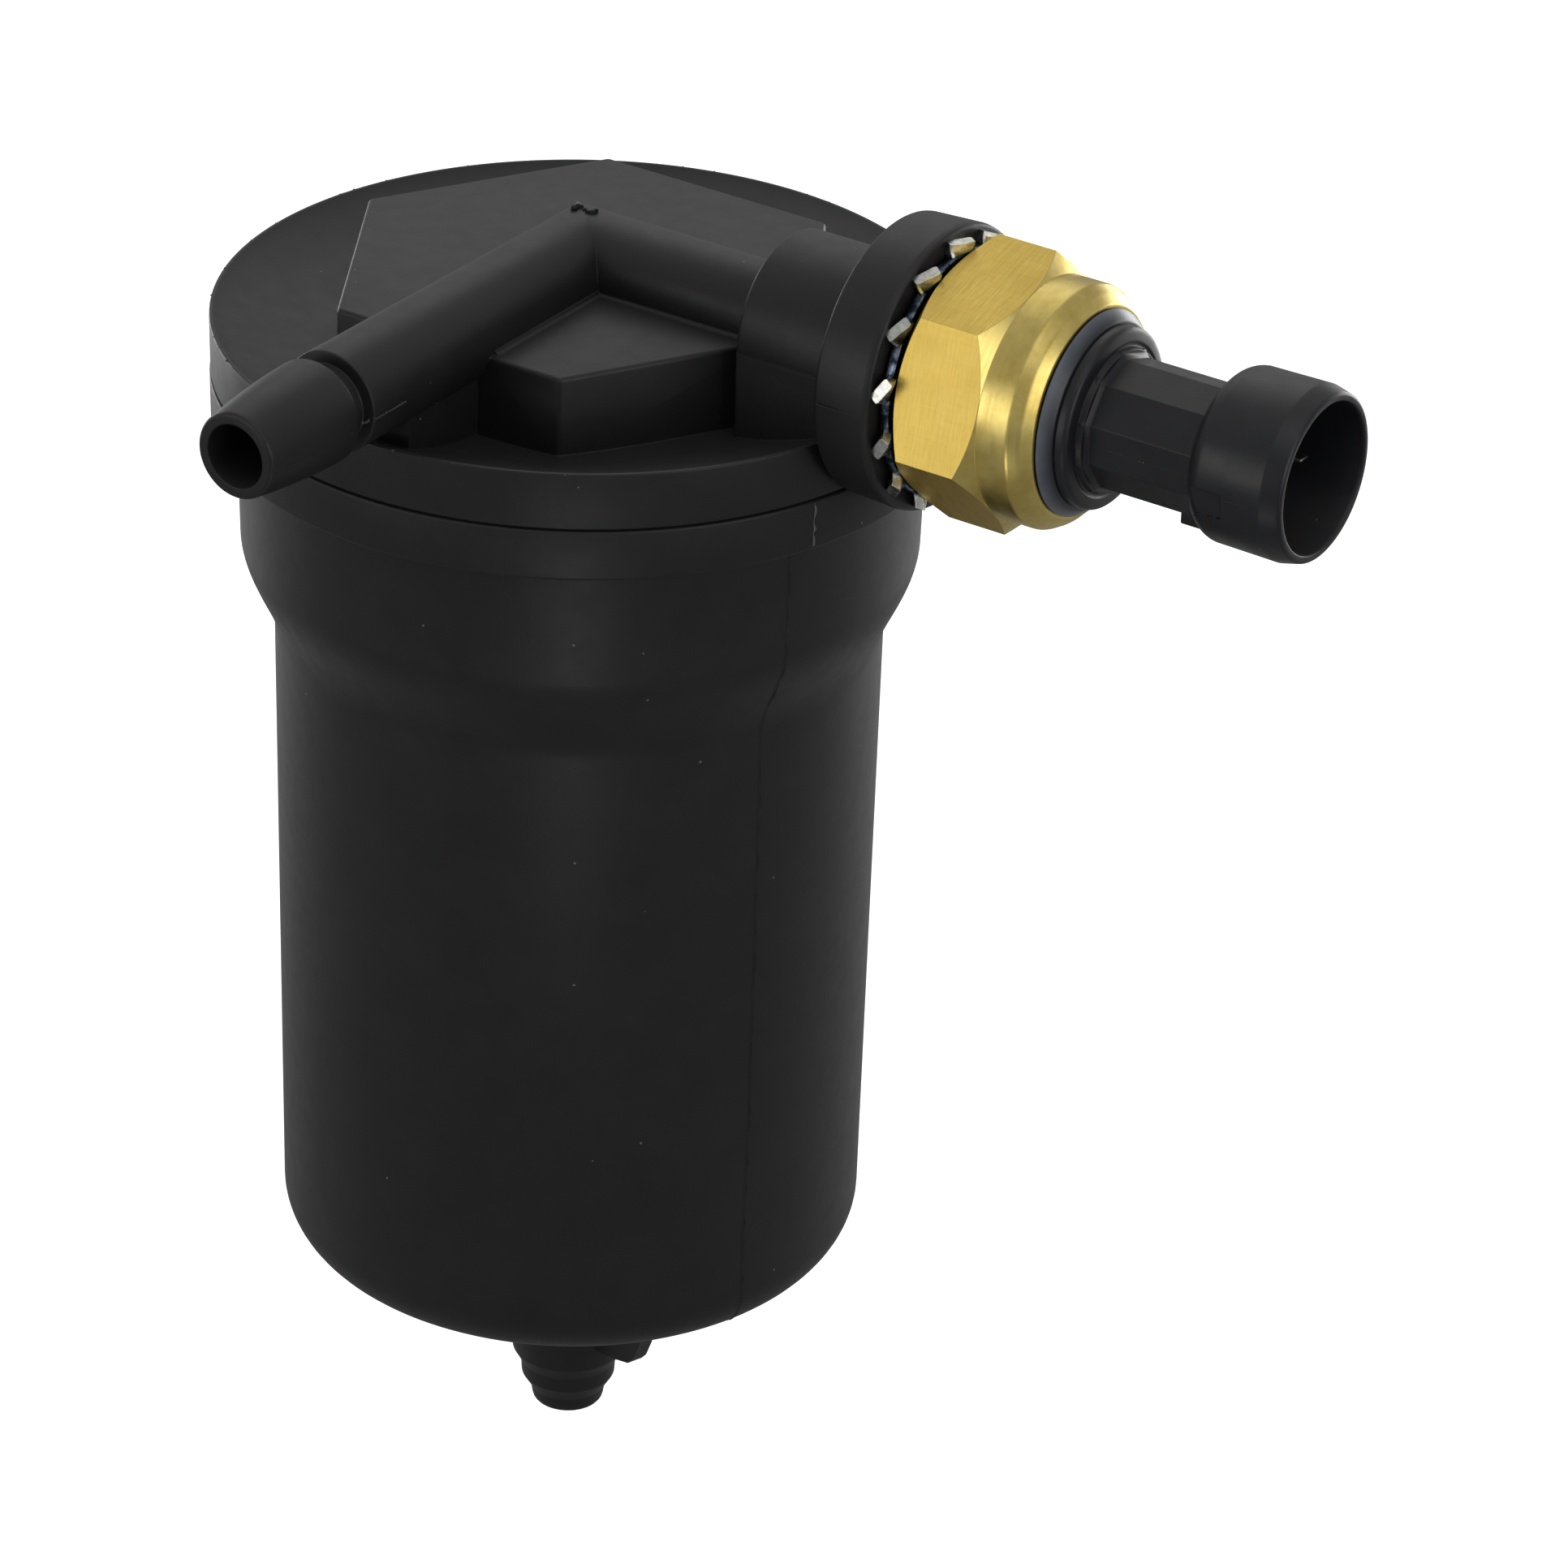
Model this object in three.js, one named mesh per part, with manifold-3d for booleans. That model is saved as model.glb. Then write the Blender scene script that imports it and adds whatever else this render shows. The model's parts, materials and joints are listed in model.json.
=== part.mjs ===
// Magnetic system filter: a moulded canister with a screw lid, a magnet core in a strainer basket,
// a side hose nozzle on the lid, and a brass pressure sensor with a round sealed connector.
// Millimetres, +Z up. The origin is on the canister's axis, in the plane of the collar's underside.
// +X is the sensor's axis, -Y is the way the hose nozzle points.
import * as THREE from 'three';
import * as BufferGeometryUtils from 'three/addons/utils/BufferGeometryUtils.js';
import Module from 'manifold-3d';

const wasm = await Module();
wasm.setup();

// ---- driving dimensions -------------------------------------------------------------------------
const GAP = 0.3; // clearance between pieces that touch
const LARGE = 40; // sides of the canister's rounds
const MEDIUM = 24; // sides of the sensor's and basket's rounds
const SMALL = 16; // sides of tubes, seals and pins

// canister
const COLLAR_R = 40.9;
const COLLAR_TOP = 5.8;
const NECK_R = 37.8; // at the foot of the neck
const NECK_DRAFT = 0.3;
const FLARE_Z = [-13.6, -25.2];
const BODY_R = 34.05;
const BASE_R = 33.35;
const BASE_Z = -103.6;
const BASE_ROUND = 6.4;
const WALL = 2.6;
const BORE_R = 35.2; // threaded mouth
const LEDGE_Z = -15; // the basket's flange sits here
const FLOOR_Z = BASE_Z + 3;
const SEAT_R = 38.4; // rebate for the lid's gasket
const SEAT_Z = 3.6;
const PARTING = -20.3; // azimuth of the mould's parting plane, degrees

// spigot under the canister
const SPIGOT_ROOT_R = 9.2;
const SPIGOT_CONE_R = 6.6;
const SPIGOT_CONE_END = -121.8;
const SPIGOT_R = 5.55;
const SPIGOT_END = -125.3;
const SPIGOT_TIP_R = 4.3;
const SPIGOT_TIP = -129;
const SPIGOT_BORE = 2.3;
const GUSSET_HALF = 1; // half its thickness
const GUSSET_REACH = 20.8; // where it meets the base

// lid
const LID_R = 41;
const LID_RIM = 12.6;
const LID_FOOT = 6.3;
const DISH_R = 25;
const DISH_Z = 8.3;
const SKIRT_R = 34;
const SKIRT_IN = 30.5;
const SKIRT_BOTTOM = -10.8;
const PLATE_Z = 5.3;
const HEX_R = 29.4; // corner radius, 2 inches across the flats
const HEX_TOP = 18;
const POCKET_R = 21;
const POCKET_TOP = 12;

// gallery through the lid
const AXIS_Z = 19; // height of the nozzle's and the sensor's axis
const TUBE_R = 5.75;
const TUBE_BORE = 3.55;
const TUBE_END = 46.1;
const GROOVE_R = 4.4;
const GROOVE_END = 48.9;
const NOZZLE_R = 5.86; // just past the groove
const NOZZLE_SLIM = 0.12; // how far the nozzle narrows evenly
const NOZZLE_CURVE = 0.86; // and how far it curves in besides, towards the tip
const TAPER_END = 61.4;
const TAPER_STEPS = 4;
const NOZZLE_TIP = 62.35;
const WEB_HALF = 4;
const WEB_END = 37.8; // how far out from the lid's axis the web reaches

// sensor boss on the lid
const ARM_R = 5.5;
const BOSS_R = 10.15;
const BOSS_X = 26.7;
const FLANGE_X = 40.2;
const FLANGE_R = 15.85;
const FACE_X = 47.1;
const RELIEF_R = 41.25; // the flange is cut back to pass over the collar
const PORT_R = 6.65;
const PORT_X = 39;
const SEAT_SENSOR_R = 9.2;
const SEAT_SENSOR_X = FACE_X - 2.6;

// magnet core hanging under the lid
const HUB_R = 9;
const HUB_IN = 6.3;
const HUB_BOTTOM = -13;
const WINDOWS = 3;
const WINDOW_W = 6;
const WINDOW_Z = [-4.5, 4];
const PLUG_FLANGE = [-15, HUB_BOTTOM - GAP];
const PLUG_R = 7.6;
const PLUG_Z = [-24.2, -6];
const PLUG_GROOVE = { z: -19.6, r: 6.3, half: 1.1 };
const SLEEVE_R = 8.5;
const SLEEVE_IN = 7.9;
const SLEEVE_WALL = SLEEVE_R - SLEEVE_IN;
const SLEEVE_TOP = PLUG_FLANGE[0] - GAP;
const SLEEVE_BOTTOM = -92;
const MAGNET_R = 7.5;
const MAGNET_L = 14.4;
const POLE_L = 2;
const MAGNETS = 4;

// strainer basket
const FLANGE_OUT = 34.6;
const FLANGE_Z = [-14.7, -11.1];
const FLANGE_GROOVE = { z: -12.9, r: 32.9, half: 1.1 };
const BASKET_R = 26;
const BASKET_IN = 23.4;
const BASKET_BOTTOM = -97;
const CAP_TOP = -94.6;
const COLLAR_Z = FLANGE_Z[0] - 3.4; // the flange's short collar reaches down to here
const HOOPS = [-34.6, -54.4, -74.2];
const HOOP_H = 2.4;
const RIBS = 8;
const RIB_W = 3;
const SCREEN_R = 23.1;
const SCREEN_IN = 22.6;

// sensor
const HEX_AF = 27; // wrench size of the brass body
const HEX_X = [48.9, 59];
const HEX_CHAMFER_X = [50.5, 57.3]; // the corners are full between these
const HEX_TURN = -14.4; // degrees the hexagon is clocked round its axis
const BRASS_R = 13.45; // round collar beyond the hexagon
const BRASS_END = 63;
const LIP_X = 65;
const LIP_R = 11.7;
const CAVITY_R = 11.2;
const CAVITY_X = 53;
const STUB_R = 5.75;
const STUB_TIP_R = 5.4;
const STUB_TIP = 33;
const STUB_PORT = 1.4;
const WASHER_R = 15.1;
const WASHER_ROOT = 13.3;
const WASHER_IN = 7.2;
const WASHER_HALF = 0.45;
const TEETH = 14;
const TEETH_TURN = 25; // degrees from the top to the first tooth
const TOOTH = { thick: 0.8, wide: 2.3, root: 1.2, twist: -20 };
const CELL_X = [CAVITY_X + 2.6, CAVITY_X + 6.4];
const BOARD_X = [CAVITY_X + 6.9, CAVITY_X + 7.9];
const HOUSING_X = CAVITY_X + 8.3;
const RING_X = [LIP_X + GAP, LIP_X + 1.4];
const RING_IN = 9.9;
const NECK_SIDES = 10;
const NECK_CORNER_R = 7.25;
const NECK_X = 69.8;
const SHROUD_Z = AXIS_Z + 0.6; // the shroud is a little high on its neck
const SHROUD_X = [80, 93.2];
const SHROUD_R = 9.68;
const SHROUD_ROUND = 2.7;
const MOUTH_R = 9.2;
const SOCKET_R = 8.2;
const SOCKET_X = 82.6;
const LUG_X = [78.4, 82.5];
const LUG_DROP = 7.6;
const LUG_HALF = 3.5;
const PIN_TIP = 88.6;
const PIN_STEP = 3.9;
const PIN_HALF = [1, 0.4];
const PIN_SLOT_HALF = [1.35, 1];

// ---- helpers ------------------------------------------------------------------------------------
const rad = THREE.MathUtils.degToRad;

// An indexed mesh of the geometry with shared corners merged and slivers dropped, facing outwards.
function weld(geometry) {
  const bare = geometry.clone();
  bare.deleteAttribute('normal');
  bare.deleteAttribute('uv');
  const merged = BufferGeometryUtils.mergeVertices(bare, 1e-4);
  const spots = merged.attributes.position.array;
  const corners = merged.index.array;
  const kept = [];
  let volume = 0;
  for (let i = 0; i < corners.length; i += 3) {
    const [a, b, c] = [corners[i], corners[i + 1], corners[i + 2]];
    if (a === b || b === c || c === a) continue;
    kept.push(a, b, c);
    const [p, q, r] = [a, b, c].map((k) => new THREE.Vector3().fromArray(spots, 3 * k));
    volume += p.dot(q.cross(r));
  }
  if (volume < 0) kept.reverse();
  return { spots, kept };
}

function toSolid(geometry) {
  const { spots, kept } = weld(geometry);
  return new wasm.Manifold(new wasm.Mesh({
    numProp: 3,
    vertProperties: new Float32Array(spots),
    triVerts: new Uint32Array(kept),
  }));
}

function toGeometry(solid) {
  const mesh = solid.getMesh();
  const geometry = new THREE.BufferGeometry();
  geometry.setAttribute('position', new THREE.BufferAttribute(mesh.vertProperties, 3));
  geometry.setIndex(new THREE.BufferAttribute(mesh.triVerts, 1));
  geometry.computeVertexNormals();
  return geometry;
}

const join = (first, ...rest) => rest.reduce((sum, piece) => sum.add(piece), first);
const cut = (first, ...rest) => rest.reduce((left, piece) => left.subtract(piece), first);

// A turned geometry about Z from [radius, z] points. It closes on itself unless it ends on the axis.
function turn(points, sides) {
  const onAxis = points[0][0] === 0 && points[points.length - 1][0] === 0;
  const loop = onAxis ? points : [...points, points[0]];
  const outline = loop.map(([r, z]) => new THREE.Vector2(r, z));
  return new THREE.LatheGeometry(outline, sides).rotateX(Math.PI / 2);
}

// The same turned about +X, from [radius, x] points, at the height of the gallery's axis.
const turnX = (points, sides, z = AXIS_Z) => turn(points, sides).rotateY(Math.PI / 2).translate(0, 0, z);

// The same turned about -Y, from [radius, distance] points, at the height of the gallery's axis.
const turnY = (points, sides) => turn(points, sides).rotateX(Math.PI / 2).translate(0, 0, AXIS_Z);

const rod = (r, from, to) => [[0, from], [r, from], [r, to], [0, to]];
const ring = (inner, outer, from, to) => [[inner, from], [outer, from], [outer, to], [inner, to]];

// A round-section seal as a turned loop, centred at radius R and height z.
function seal(R, z, r, steps = 6) {
  const points = [];
  for (let i = 0; i < steps; i += 1) {
    const angle = (2 * Math.PI * (i + 0.5)) / steps;
    points.push([R + r * Math.cos(angle), z + r * Math.sin(angle)]);
  }
  return points;
}

// Points on an arc of radius r about [R, z] from one angle to another, in degrees.
function arc(R, z, r, from, to, steps) {
  const points = [];
  for (let i = 0; i <= steps; i += 1) {
    const angle = rad(from + ((to - from) * i) / steps);
    points.push([R + r * Math.cos(angle), z + r * Math.sin(angle)]);
  }
  return points;
}

function block(x0, x1, y0, y1, z0, z1) {
  const box = new THREE.BoxGeometry(x1 - x0, y1 - y0, z1 - z0);
  return box.translate((x0 + x1) / 2, (y0 + y1) / 2, (z0 + z1) / 2);
}

// Everything on the far side of a vertical plane that faces the given azimuth, so far from the Z axis.
function halfSpace(azimuth, from) {
  const far = 200;
  return toSolid(block(from, far, -far, far, -far, far).rotateZ(rad(azimuth)));
}

// A filled outline from [x, y] points.
function outlineOf(points) {
  const outline = new THREE.Shape();
  points.forEach(([x, y], i) => (i ? outline.lineTo(x, y) : outline.moveTo(x, y)));
  outline.closePath();
  return outline;
}

// A regular prism about Z; the first corner is at the given angle from +X.
function prism(cornerR, sides, from, to, turnDeg = 0) {
  const points = [];
  for (let i = 0; i < sides; i += 1) {
    const angle = rad(turnDeg + (360 * i) / sides);
    points.push([cornerR * Math.cos(angle), cornerR * Math.sin(angle)]);
  }
  const body = new THREE.ExtrudeGeometry(outlineOf(points), { depth: to - from, bevelEnabled: false });
  return body.translate(0, 0, from);
}

const group = new THREE.Group();

const FINISH = {
  nylon: { color: 0x262629, roughness: 0.55, metalness: 0 },
  connector: { color: 0x202123, roughness: 0.6, metalness: 0 },
  rubber: { color: 0x141414, roughness: 0.85, metalness: 0 },
  grey_rubber: { color: 0x5f646b, roughness: 0.8, metalness: 0 },
  brass: { color: 0xc79a3c, roughness: 0.35, metalness: 1 },
  zinc: { color: 0xb4b5b0, roughness: 0.3, metalness: 1 },
  stainless: { color: 0xb9bcc0, roughness: 0.3, metalness: 1 },
  mesh: { color: 0xa4a8ad, roughness: 0.4, metalness: 1 },
  nickel: { color: 0xc4c2ba, roughness: 0.25, metalness: 1 },
  steel: { color: 0x8b8e92, roughness: 0.4, metalness: 1 },
  acetal: { color: 0xe4e2da, roughness: 0.5, metalness: 0 },
  tin: { color: 0xc9cac8, roughness: 0.25, metalness: 1 },
  ceramic: { color: 0xf0eee6, roughness: 0.6, metalness: 0 },
  board: { color: 0x1d5a34, roughness: 0.5, metalness: 0 },
};

function add(name, finish, geometry) {
  const mesh = new THREE.Mesh(geometry, new THREE.MeshStandardMaterial(FINISH[finish]));
  mesh.name = name;
  group.add(mesh);
}

// ---- canister -----------------------------------------------------------------------------------
// The flare from the neck down to the body: a soft S between the two radii.
function flare() {
  const points = [];
  const steps = 6;
  for (let i = 0; i <= steps; i += 1) {
    const share = i / steps;
    const ease = share * share * (3 - 2 * share);
    points.push([NECK_R + (BODY_R - NECK_R) * ease, FLARE_Z[0] + (FLARE_Z[1] - FLARE_Z[0]) * share]);
  }
  return points;
}

function canister() {
  const outside = [
    [SEAT_R, COLLAR_TOP],
    [COLLAR_R + 0.1, COLLAR_TOP],
    [COLLAR_R, 0],
    [NECK_R + NECK_DRAFT, 0],
    ...flare(),
    ...arc(BASE_R - BASE_ROUND, BASE_Z + BASE_ROUND, BASE_ROUND, 0, -90, 5),
    [SPIGOT_ROOT_R, BASE_Z],
    [SPIGOT_CONE_R, SPIGOT_CONE_END],
    [SPIGOT_R, SPIGOT_CONE_END - 1.5],
    [SPIGOT_R, SPIGOT_END],
    [SPIGOT_TIP_R, SPIGOT_END - 1.8],
    [SPIGOT_TIP_R, SPIGOT_TIP + 0.6],
    [SPIGOT_TIP_R - 0.6, SPIGOT_TIP],
  ];
  const round = BASE_ROUND - WALL;
  const inside = [
    [SPIGOT_BORE, SPIGOT_TIP],
    [SPIGOT_BORE, FLOOR_Z],
    ...arc(BASE_R - WALL - round, FLOOR_Z + round, round, -90, 0, 4),
    [BODY_R - WALL, FLARE_Z[1]],
    [BODY_R - WALL, LEDGE_Z],
    [BORE_R, LEDGE_Z],
    [BORE_R, SEAT_Z],
    [SEAT_R, SEAT_Z],
  ];
  const shell = toSolid(turn([...outside, ...inside], LARGE));
  const bore = toSolid(turn(rod(SPIGOT_BORE, SPIGOT_TIP - 1, FLOOR_Z + 1), SMALL));
  return toGeometry(cut(join(shell, gussets()), bore));
}

// Two thin gussets in the parting plane that brace the spigot against the base.
function gussets() {
  const right = [[5, -119.2], [10.6, -117.9], [14.5, -115.9], [GUSSET_REACH, BASE_Z + 1.5]];
  const left = right.map(([r, z]) => [-r, z]).reverse();
  const shape = outlineOf([...left, ...right]);
  const plate = new THREE.ExtrudeGeometry(shape, { depth: 2 * GUSSET_HALF, bevelEnabled: false });
  plate.translate(0, 0, -GUSSET_HALF).rotateX(Math.PI / 2).rotateZ(rad(PARTING));
  return toSolid(plate);
}

// ---- lid ----------------------------------------------------------------------------------------
function lidShell() {
  const plate = toSolid(turn([
    [0, PLATE_Z],
    [SKIRT_IN, PLATE_Z],
    [SKIRT_IN, SKIRT_BOTTOM],
    [SKIRT_R - 0.8, SKIRT_BOTTOM],
    [SKIRT_R, SKIRT_BOTTOM + 0.8],
    [SKIRT_R, LID_FOOT],
    [LID_R - 0.2, LID_FOOT],
    [LID_R, LID_RIM],
    [LID_R - 0.5, LID_RIM],
    [33, LID_RIM - 2.6],
    [DISH_R, DISH_Z],
    [0, DISH_Z],
  ], LARGE));
  const hexagon = toSolid(prism(HEX_R, 6, PLATE_Z, HEX_TOP));
  return join(plate, hexagon);
}

// The nozzle's outline from the groove to the start of the rounded tip.
function nozzleTaper() {
  const points = [];
  for (let i = 1; i <= TAPER_STEPS; i += 1) {
    const along = i / TAPER_STEPS;
    const radius = NOZZLE_R - NOZZLE_SLIM * along - NOZZLE_CURVE * along ** 2;
    points.push([radius, GROOVE_END + (TAPER_END - GROOVE_END) * along]);
  }
  return points;
}

// The hose nozzle, mitred where it meets the sensor's arm, and the web that carries it.
function nozzleArm() {
  const disc = toSolid(turn(rod(WEB_END, PLATE_Z + 1, AXIS_Z), LARGE));
  const web = toSolid(block(-WEB_HALF, WEB_HALF, -LID_R - 5, -DISH_R + 4, LID_FOOT, AXIS_Z));
  const tube = toSolid(turnY([
    [0, -2 * TUBE_R],
    [TUBE_R - 0.3, -2 * TUBE_R],
    [TUBE_R, TUBE_END - 0.5],
    [TUBE_R - 0.2, TUBE_END],
    [GROOVE_R, TUBE_END + 0.3],
    [GROOVE_R, GROOVE_END - 0.3],
    [NOZZLE_R, GROOVE_END],
    ...nozzleTaper(),
    [NOZZLE_R - 1.03, NOZZLE_TIP - 0.4],
    [NOZZLE_R - 1.48, NOZZLE_TIP],
    [0, NOZZLE_TIP],
  ], SMALL));
  return join(tube.intersect(halfSpace(225, 0)), disc.intersect(web));
}

// The arm, boss and flange the sensor screws into, standing on the lid's rim.
function sensorArm() {
  const overlap = 0.5 * (TUBE_R - ARM_R); // the mitred ends run into each other by this
  const blank = toSolid(turnX(rod(ARM_R, -2 * ARM_R, BOSS_X + 2), SMALL));
  const arm = blank.intersect(halfSpace(45, -overlap));
  const boss = toSolid(turnX(rod(BOSS_R, BOSS_X, FLANGE_X + 1), MEDIUM));
  const foot = toSolid(block(BOSS_X, FLANGE_X + 1, -BOSS_R, BOSS_R, LID_FOOT, AXIS_Z));
  const flange = toSolid(turnX([
    [0, FLANGE_X],
    [FLANGE_R - 0.6, FLANGE_X],
    [FLANGE_R - 0.2, FLANGE_X + 0.6],
    [FLANGE_R, FACE_X - 1],
    [FLANGE_R - 0.5, FACE_X],
    [0, FACE_X],
  ], MEDIUM));
  const relief = toSolid(turn(rod(RELIEF_R, -5, LID_FOOT), LARGE));
  return join(arm, boss, foot, cut(flange, relief));
}

// The hollow post under the lid that the magnet core plugs into, with windows for the flow.
function lidHub() {
  const tube = toSolid(turn(rod(HUB_R, HUB_BOTTOM, POCKET_TOP + 1), MEDIUM));
  const chamber = toSolid(turn(rod(HUB_IN, HUB_BOTTOM - 1, PLATE_Z + 1), MEDIUM));
  let hub = cut(tube, chamber);
  for (let i = 0; i < WINDOWS; i += 1) {
    const window = block(0, HUB_R + 2, -WINDOW_W / 2, WINDOW_W / 2, WINDOW_Z[0], WINDOW_Z[1]);
    hub = cut(hub, toSolid(window.rotateZ(rad(30 + (360 * i) / WINDOWS))));
  }
  return hub;
}

function lid() {
  const pocket = toSolid(turn(ring(HUB_R, POCKET_R, PLATE_Z - 1, POCKET_TOP), MEDIUM));
  const drop = toSolid(turn(rod(TUBE_BORE, PLATE_Z - 1, AXIS_Z), SMALL));
  const inlet = toSolid(turnY(rod(TUBE_BORE, 0, NOZZLE_TIP + 1), SMALL));
  const branch = toSolid(turnX(rod(TUBE_BORE, -TUBE_BORE, PORT_X + 1), SMALL));
  const port = toSolid(turnX(rod(PORT_R, STUB_TIP - 1, FACE_X + 1), MEDIUM));
  const counterbore = toSolid(turnX(rod(SEAT_SENSOR_R, SEAT_SENSOR_X, FACE_X + 1), MEDIUM));
  const outer = join(lidShell(), nozzleArm(), sensorArm());
  const cored = join(cut(outer, pocket), lidHub());
  return toGeometry(cut(cored, drop, inlet, branch, port, counterbore));
}

// ---- magnet core --------------------------------------------------------------------------------
function magnetCore() {
  const { z: grooveZ, r: grooveR, half } = PLUG_GROOVE;
  add('sleeve_plug', 'acetal', turn([
    [0, PLUG_Z[0]],
    [PLUG_R, PLUG_Z[0]],
    [PLUG_R, grooveZ - half],
    [grooveR, grooveZ - half],
    [grooveR, grooveZ + half],
    [PLUG_R, grooveZ + half],
    [PLUG_R, PLUG_FLANGE[0]],
    [HUB_R, PLUG_FLANGE[0]],
    [HUB_R, PLUG_FLANGE[1]],
    [HUB_IN - GAP, PLUG_FLANGE[1]],
    [HUB_IN - GAP, PLUG_Z[1]],
    [0, PLUG_Z[1]],
  ], MEDIUM));
  add('plug_seal', 'rubber', turn(seal(7.1, grooveZ, 0.65), MEDIUM));
  add('magnet_sleeve', 'stainless', turn([
    [0, SLEEVE_BOTTOM],
    [SLEEVE_R - 0.8, SLEEVE_BOTTOM],
    [SLEEVE_R, SLEEVE_BOTTOM + 0.8],
    [SLEEVE_R, SLEEVE_TOP],
    [SLEEVE_IN, SLEEVE_TOP],
    [SLEEVE_IN, SLEEVE_BOTTOM + SLEEVE_WALL],
    [0, SLEEVE_BOTTOM + SLEEVE_WALL],
  ], MEDIUM));
  let z = SLEEVE_BOTTOM + SLEEVE_WALL + GAP;
  for (let i = 1; i <= MAGNETS; i += 1) {
    add(`magnet_${i}`, 'nickel', turn(rod(MAGNET_R, z, z + MAGNET_L), SMALL));
    z += MAGNET_L + GAP;
    if (i === MAGNETS) break;
    add(`pole_disc_${i}`, 'steel', turn(rod(MAGNET_R, z, z + POLE_L), SMALL));
    z += POLE_L + GAP;
  }
}

// ---- strainer -----------------------------------------------------------------------------------
// The basket is a grooved flange, a cage of hoops and ribs, and a solid cap, round a tube of screen.
function strainerFlange() {
  const { z: grooveZ, r: grooveR, half } = FLANGE_GROOVE;
  return turn([
    [BASKET_IN, COLLAR_Z],
    [BASKET_R, COLLAR_Z],
    [BASKET_R + 1, FLANGE_Z[0]],
    [FLANGE_OUT, FLANGE_Z[0]],
    [FLANGE_OUT, grooveZ - half],
    [grooveR, grooveZ - half],
    [grooveR, grooveZ + half],
    [FLANGE_OUT, grooveZ + half],
    [FLANGE_OUT, FLANGE_Z[1]],
    [BASKET_IN, FLANGE_Z[1]],
  ], LARGE);
}

function strainerCage() {
  const [bottom, top] = [CAP_TOP + GAP, COLLAR_Z - GAP];
  const hoops = HOOPS.map((z) => ring(BASKET_IN, BASKET_R, z - HOOP_H / 2, z + HOOP_H / 2));
  const wall = toSolid(turn(ring(BASKET_IN, BASKET_R, bottom, top), MEDIUM));
  let cage = join(...hoops.map((hoop) => toSolid(turn(hoop, MEDIUM))));
  for (let i = 0; i < RIBS; i += 1) {
    const bar = block(BASKET_IN - 2, BASKET_R + 1, -RIB_W / 2, RIB_W / 2, bottom, top);
    bar.rotateZ(rad((360 * (i + 0.5)) / RIBS));
    cage = join(cage, toSolid(bar).intersect(wall));
  }
  return toGeometry(cage);
}

function strainer() {
  const cap = [
    [0, BASKET_BOTTOM],
    [BASKET_R - 0.8, BASKET_BOTTOM],
    [BASKET_R, BASKET_BOTTOM + 0.8],
    [BASKET_R, CAP_TOP],
    [0, CAP_TOP],
  ];
  add('strainer_flange', 'acetal', strainerFlange());
  add('strainer_cage', 'acetal', strainerCage());
  add('strainer_cap', 'acetal', turn(cap, MEDIUM));
  add('strainer_screen', 'mesh', turn(ring(SCREEN_IN, SCREEN_R, CAP_TOP + GAP, FLANGE_Z[1]), MEDIUM));
  add('strainer_seal', 'rubber', turn(seal(34, FLANGE_GROOVE.z, 0.95), LARGE));
}

// ---- sensor -------------------------------------------------------------------------------------
function sensorBody() {
  const corner = HEX_AF / 2 / Math.cos(Math.PI / 6);
  const blank = prism(corner, 6, HEX_X[0], HEX_X[1] + 1, HEX_TURN);
  blank.rotateY(Math.PI / 2).translate(0, 0, AXIS_Z);
  const chamfer = toSolid(turnX([
    [0, HEX_X[0]],
    [HEX_AF / 2 - 0.1, HEX_X[0]],
    [corner + 0.1, HEX_CHAMFER_X[0]],
    [corner + 0.1, HEX_CHAMFER_X[1]],
    [BRASS_R, HEX_X[1]],
    [0, HEX_X[1]],
  ], MEDIUM));
  const barrel = toSolid(turnX([
    [0, STUB_TIP],
    [STUB_TIP_R - 0.5, STUB_TIP],
    [STUB_TIP_R, STUB_TIP + 0.5],
    [STUB_TIP_R, PORT_X],
    [STUB_R, PORT_X + 0.4],
    [STUB_R, HEX_X[0] + 1],
    [BRASS_R, HEX_X[0] + 1],
    [BRASS_R, BRASS_END],
    [BRASS_R - 0.45, BRASS_END + 1],
    [LIP_R, LIP_X],
    [0, LIP_X],
  ], MEDIUM));
  const cavity = toSolid(turnX(rod(CAVITY_R, CAVITY_X, LIP_X + 1), MEDIUM));
  const port = toSolid(turnX(rod(STUB_PORT, STUB_TIP - 1, CAVITY_X + 1), SMALL));
  return toGeometry(cut(join(toSolid(blank).intersect(chamfer), barrel), cavity, port));
}

// An external-tooth washer: teeth round a flat ring, each twisted out of the ring's plane.
function lockWasher() {
  const middle = (FACE_X + HEX_X[0]) / 2;
  const body = ring(WASHER_IN, WASHER_ROOT, middle - WASHER_HALF, middle + WASHER_HALF);
  const rootIn = WASHER_ROOT - TOOTH.root;
  let washer = toSolid(turnX(body, MEDIUM));
  for (let i = 0; i < TEETH; i += 1) {
    const tooth = new THREE.BoxGeometry(TOOTH.thick, TOOTH.wide, WASHER_R - rootIn);
    tooth.rotateZ(rad(TOOTH.twist)).translate(0, 0, (WASHER_R + rootIn) / 2);
    tooth.rotateX(-rad(TEETH_TURN + (360 * i) / TEETH)).translate(middle, 0, AXIS_Z);
    washer = join(washer, toSolid(tooth));
  }
  return toGeometry(washer);
}

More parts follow.
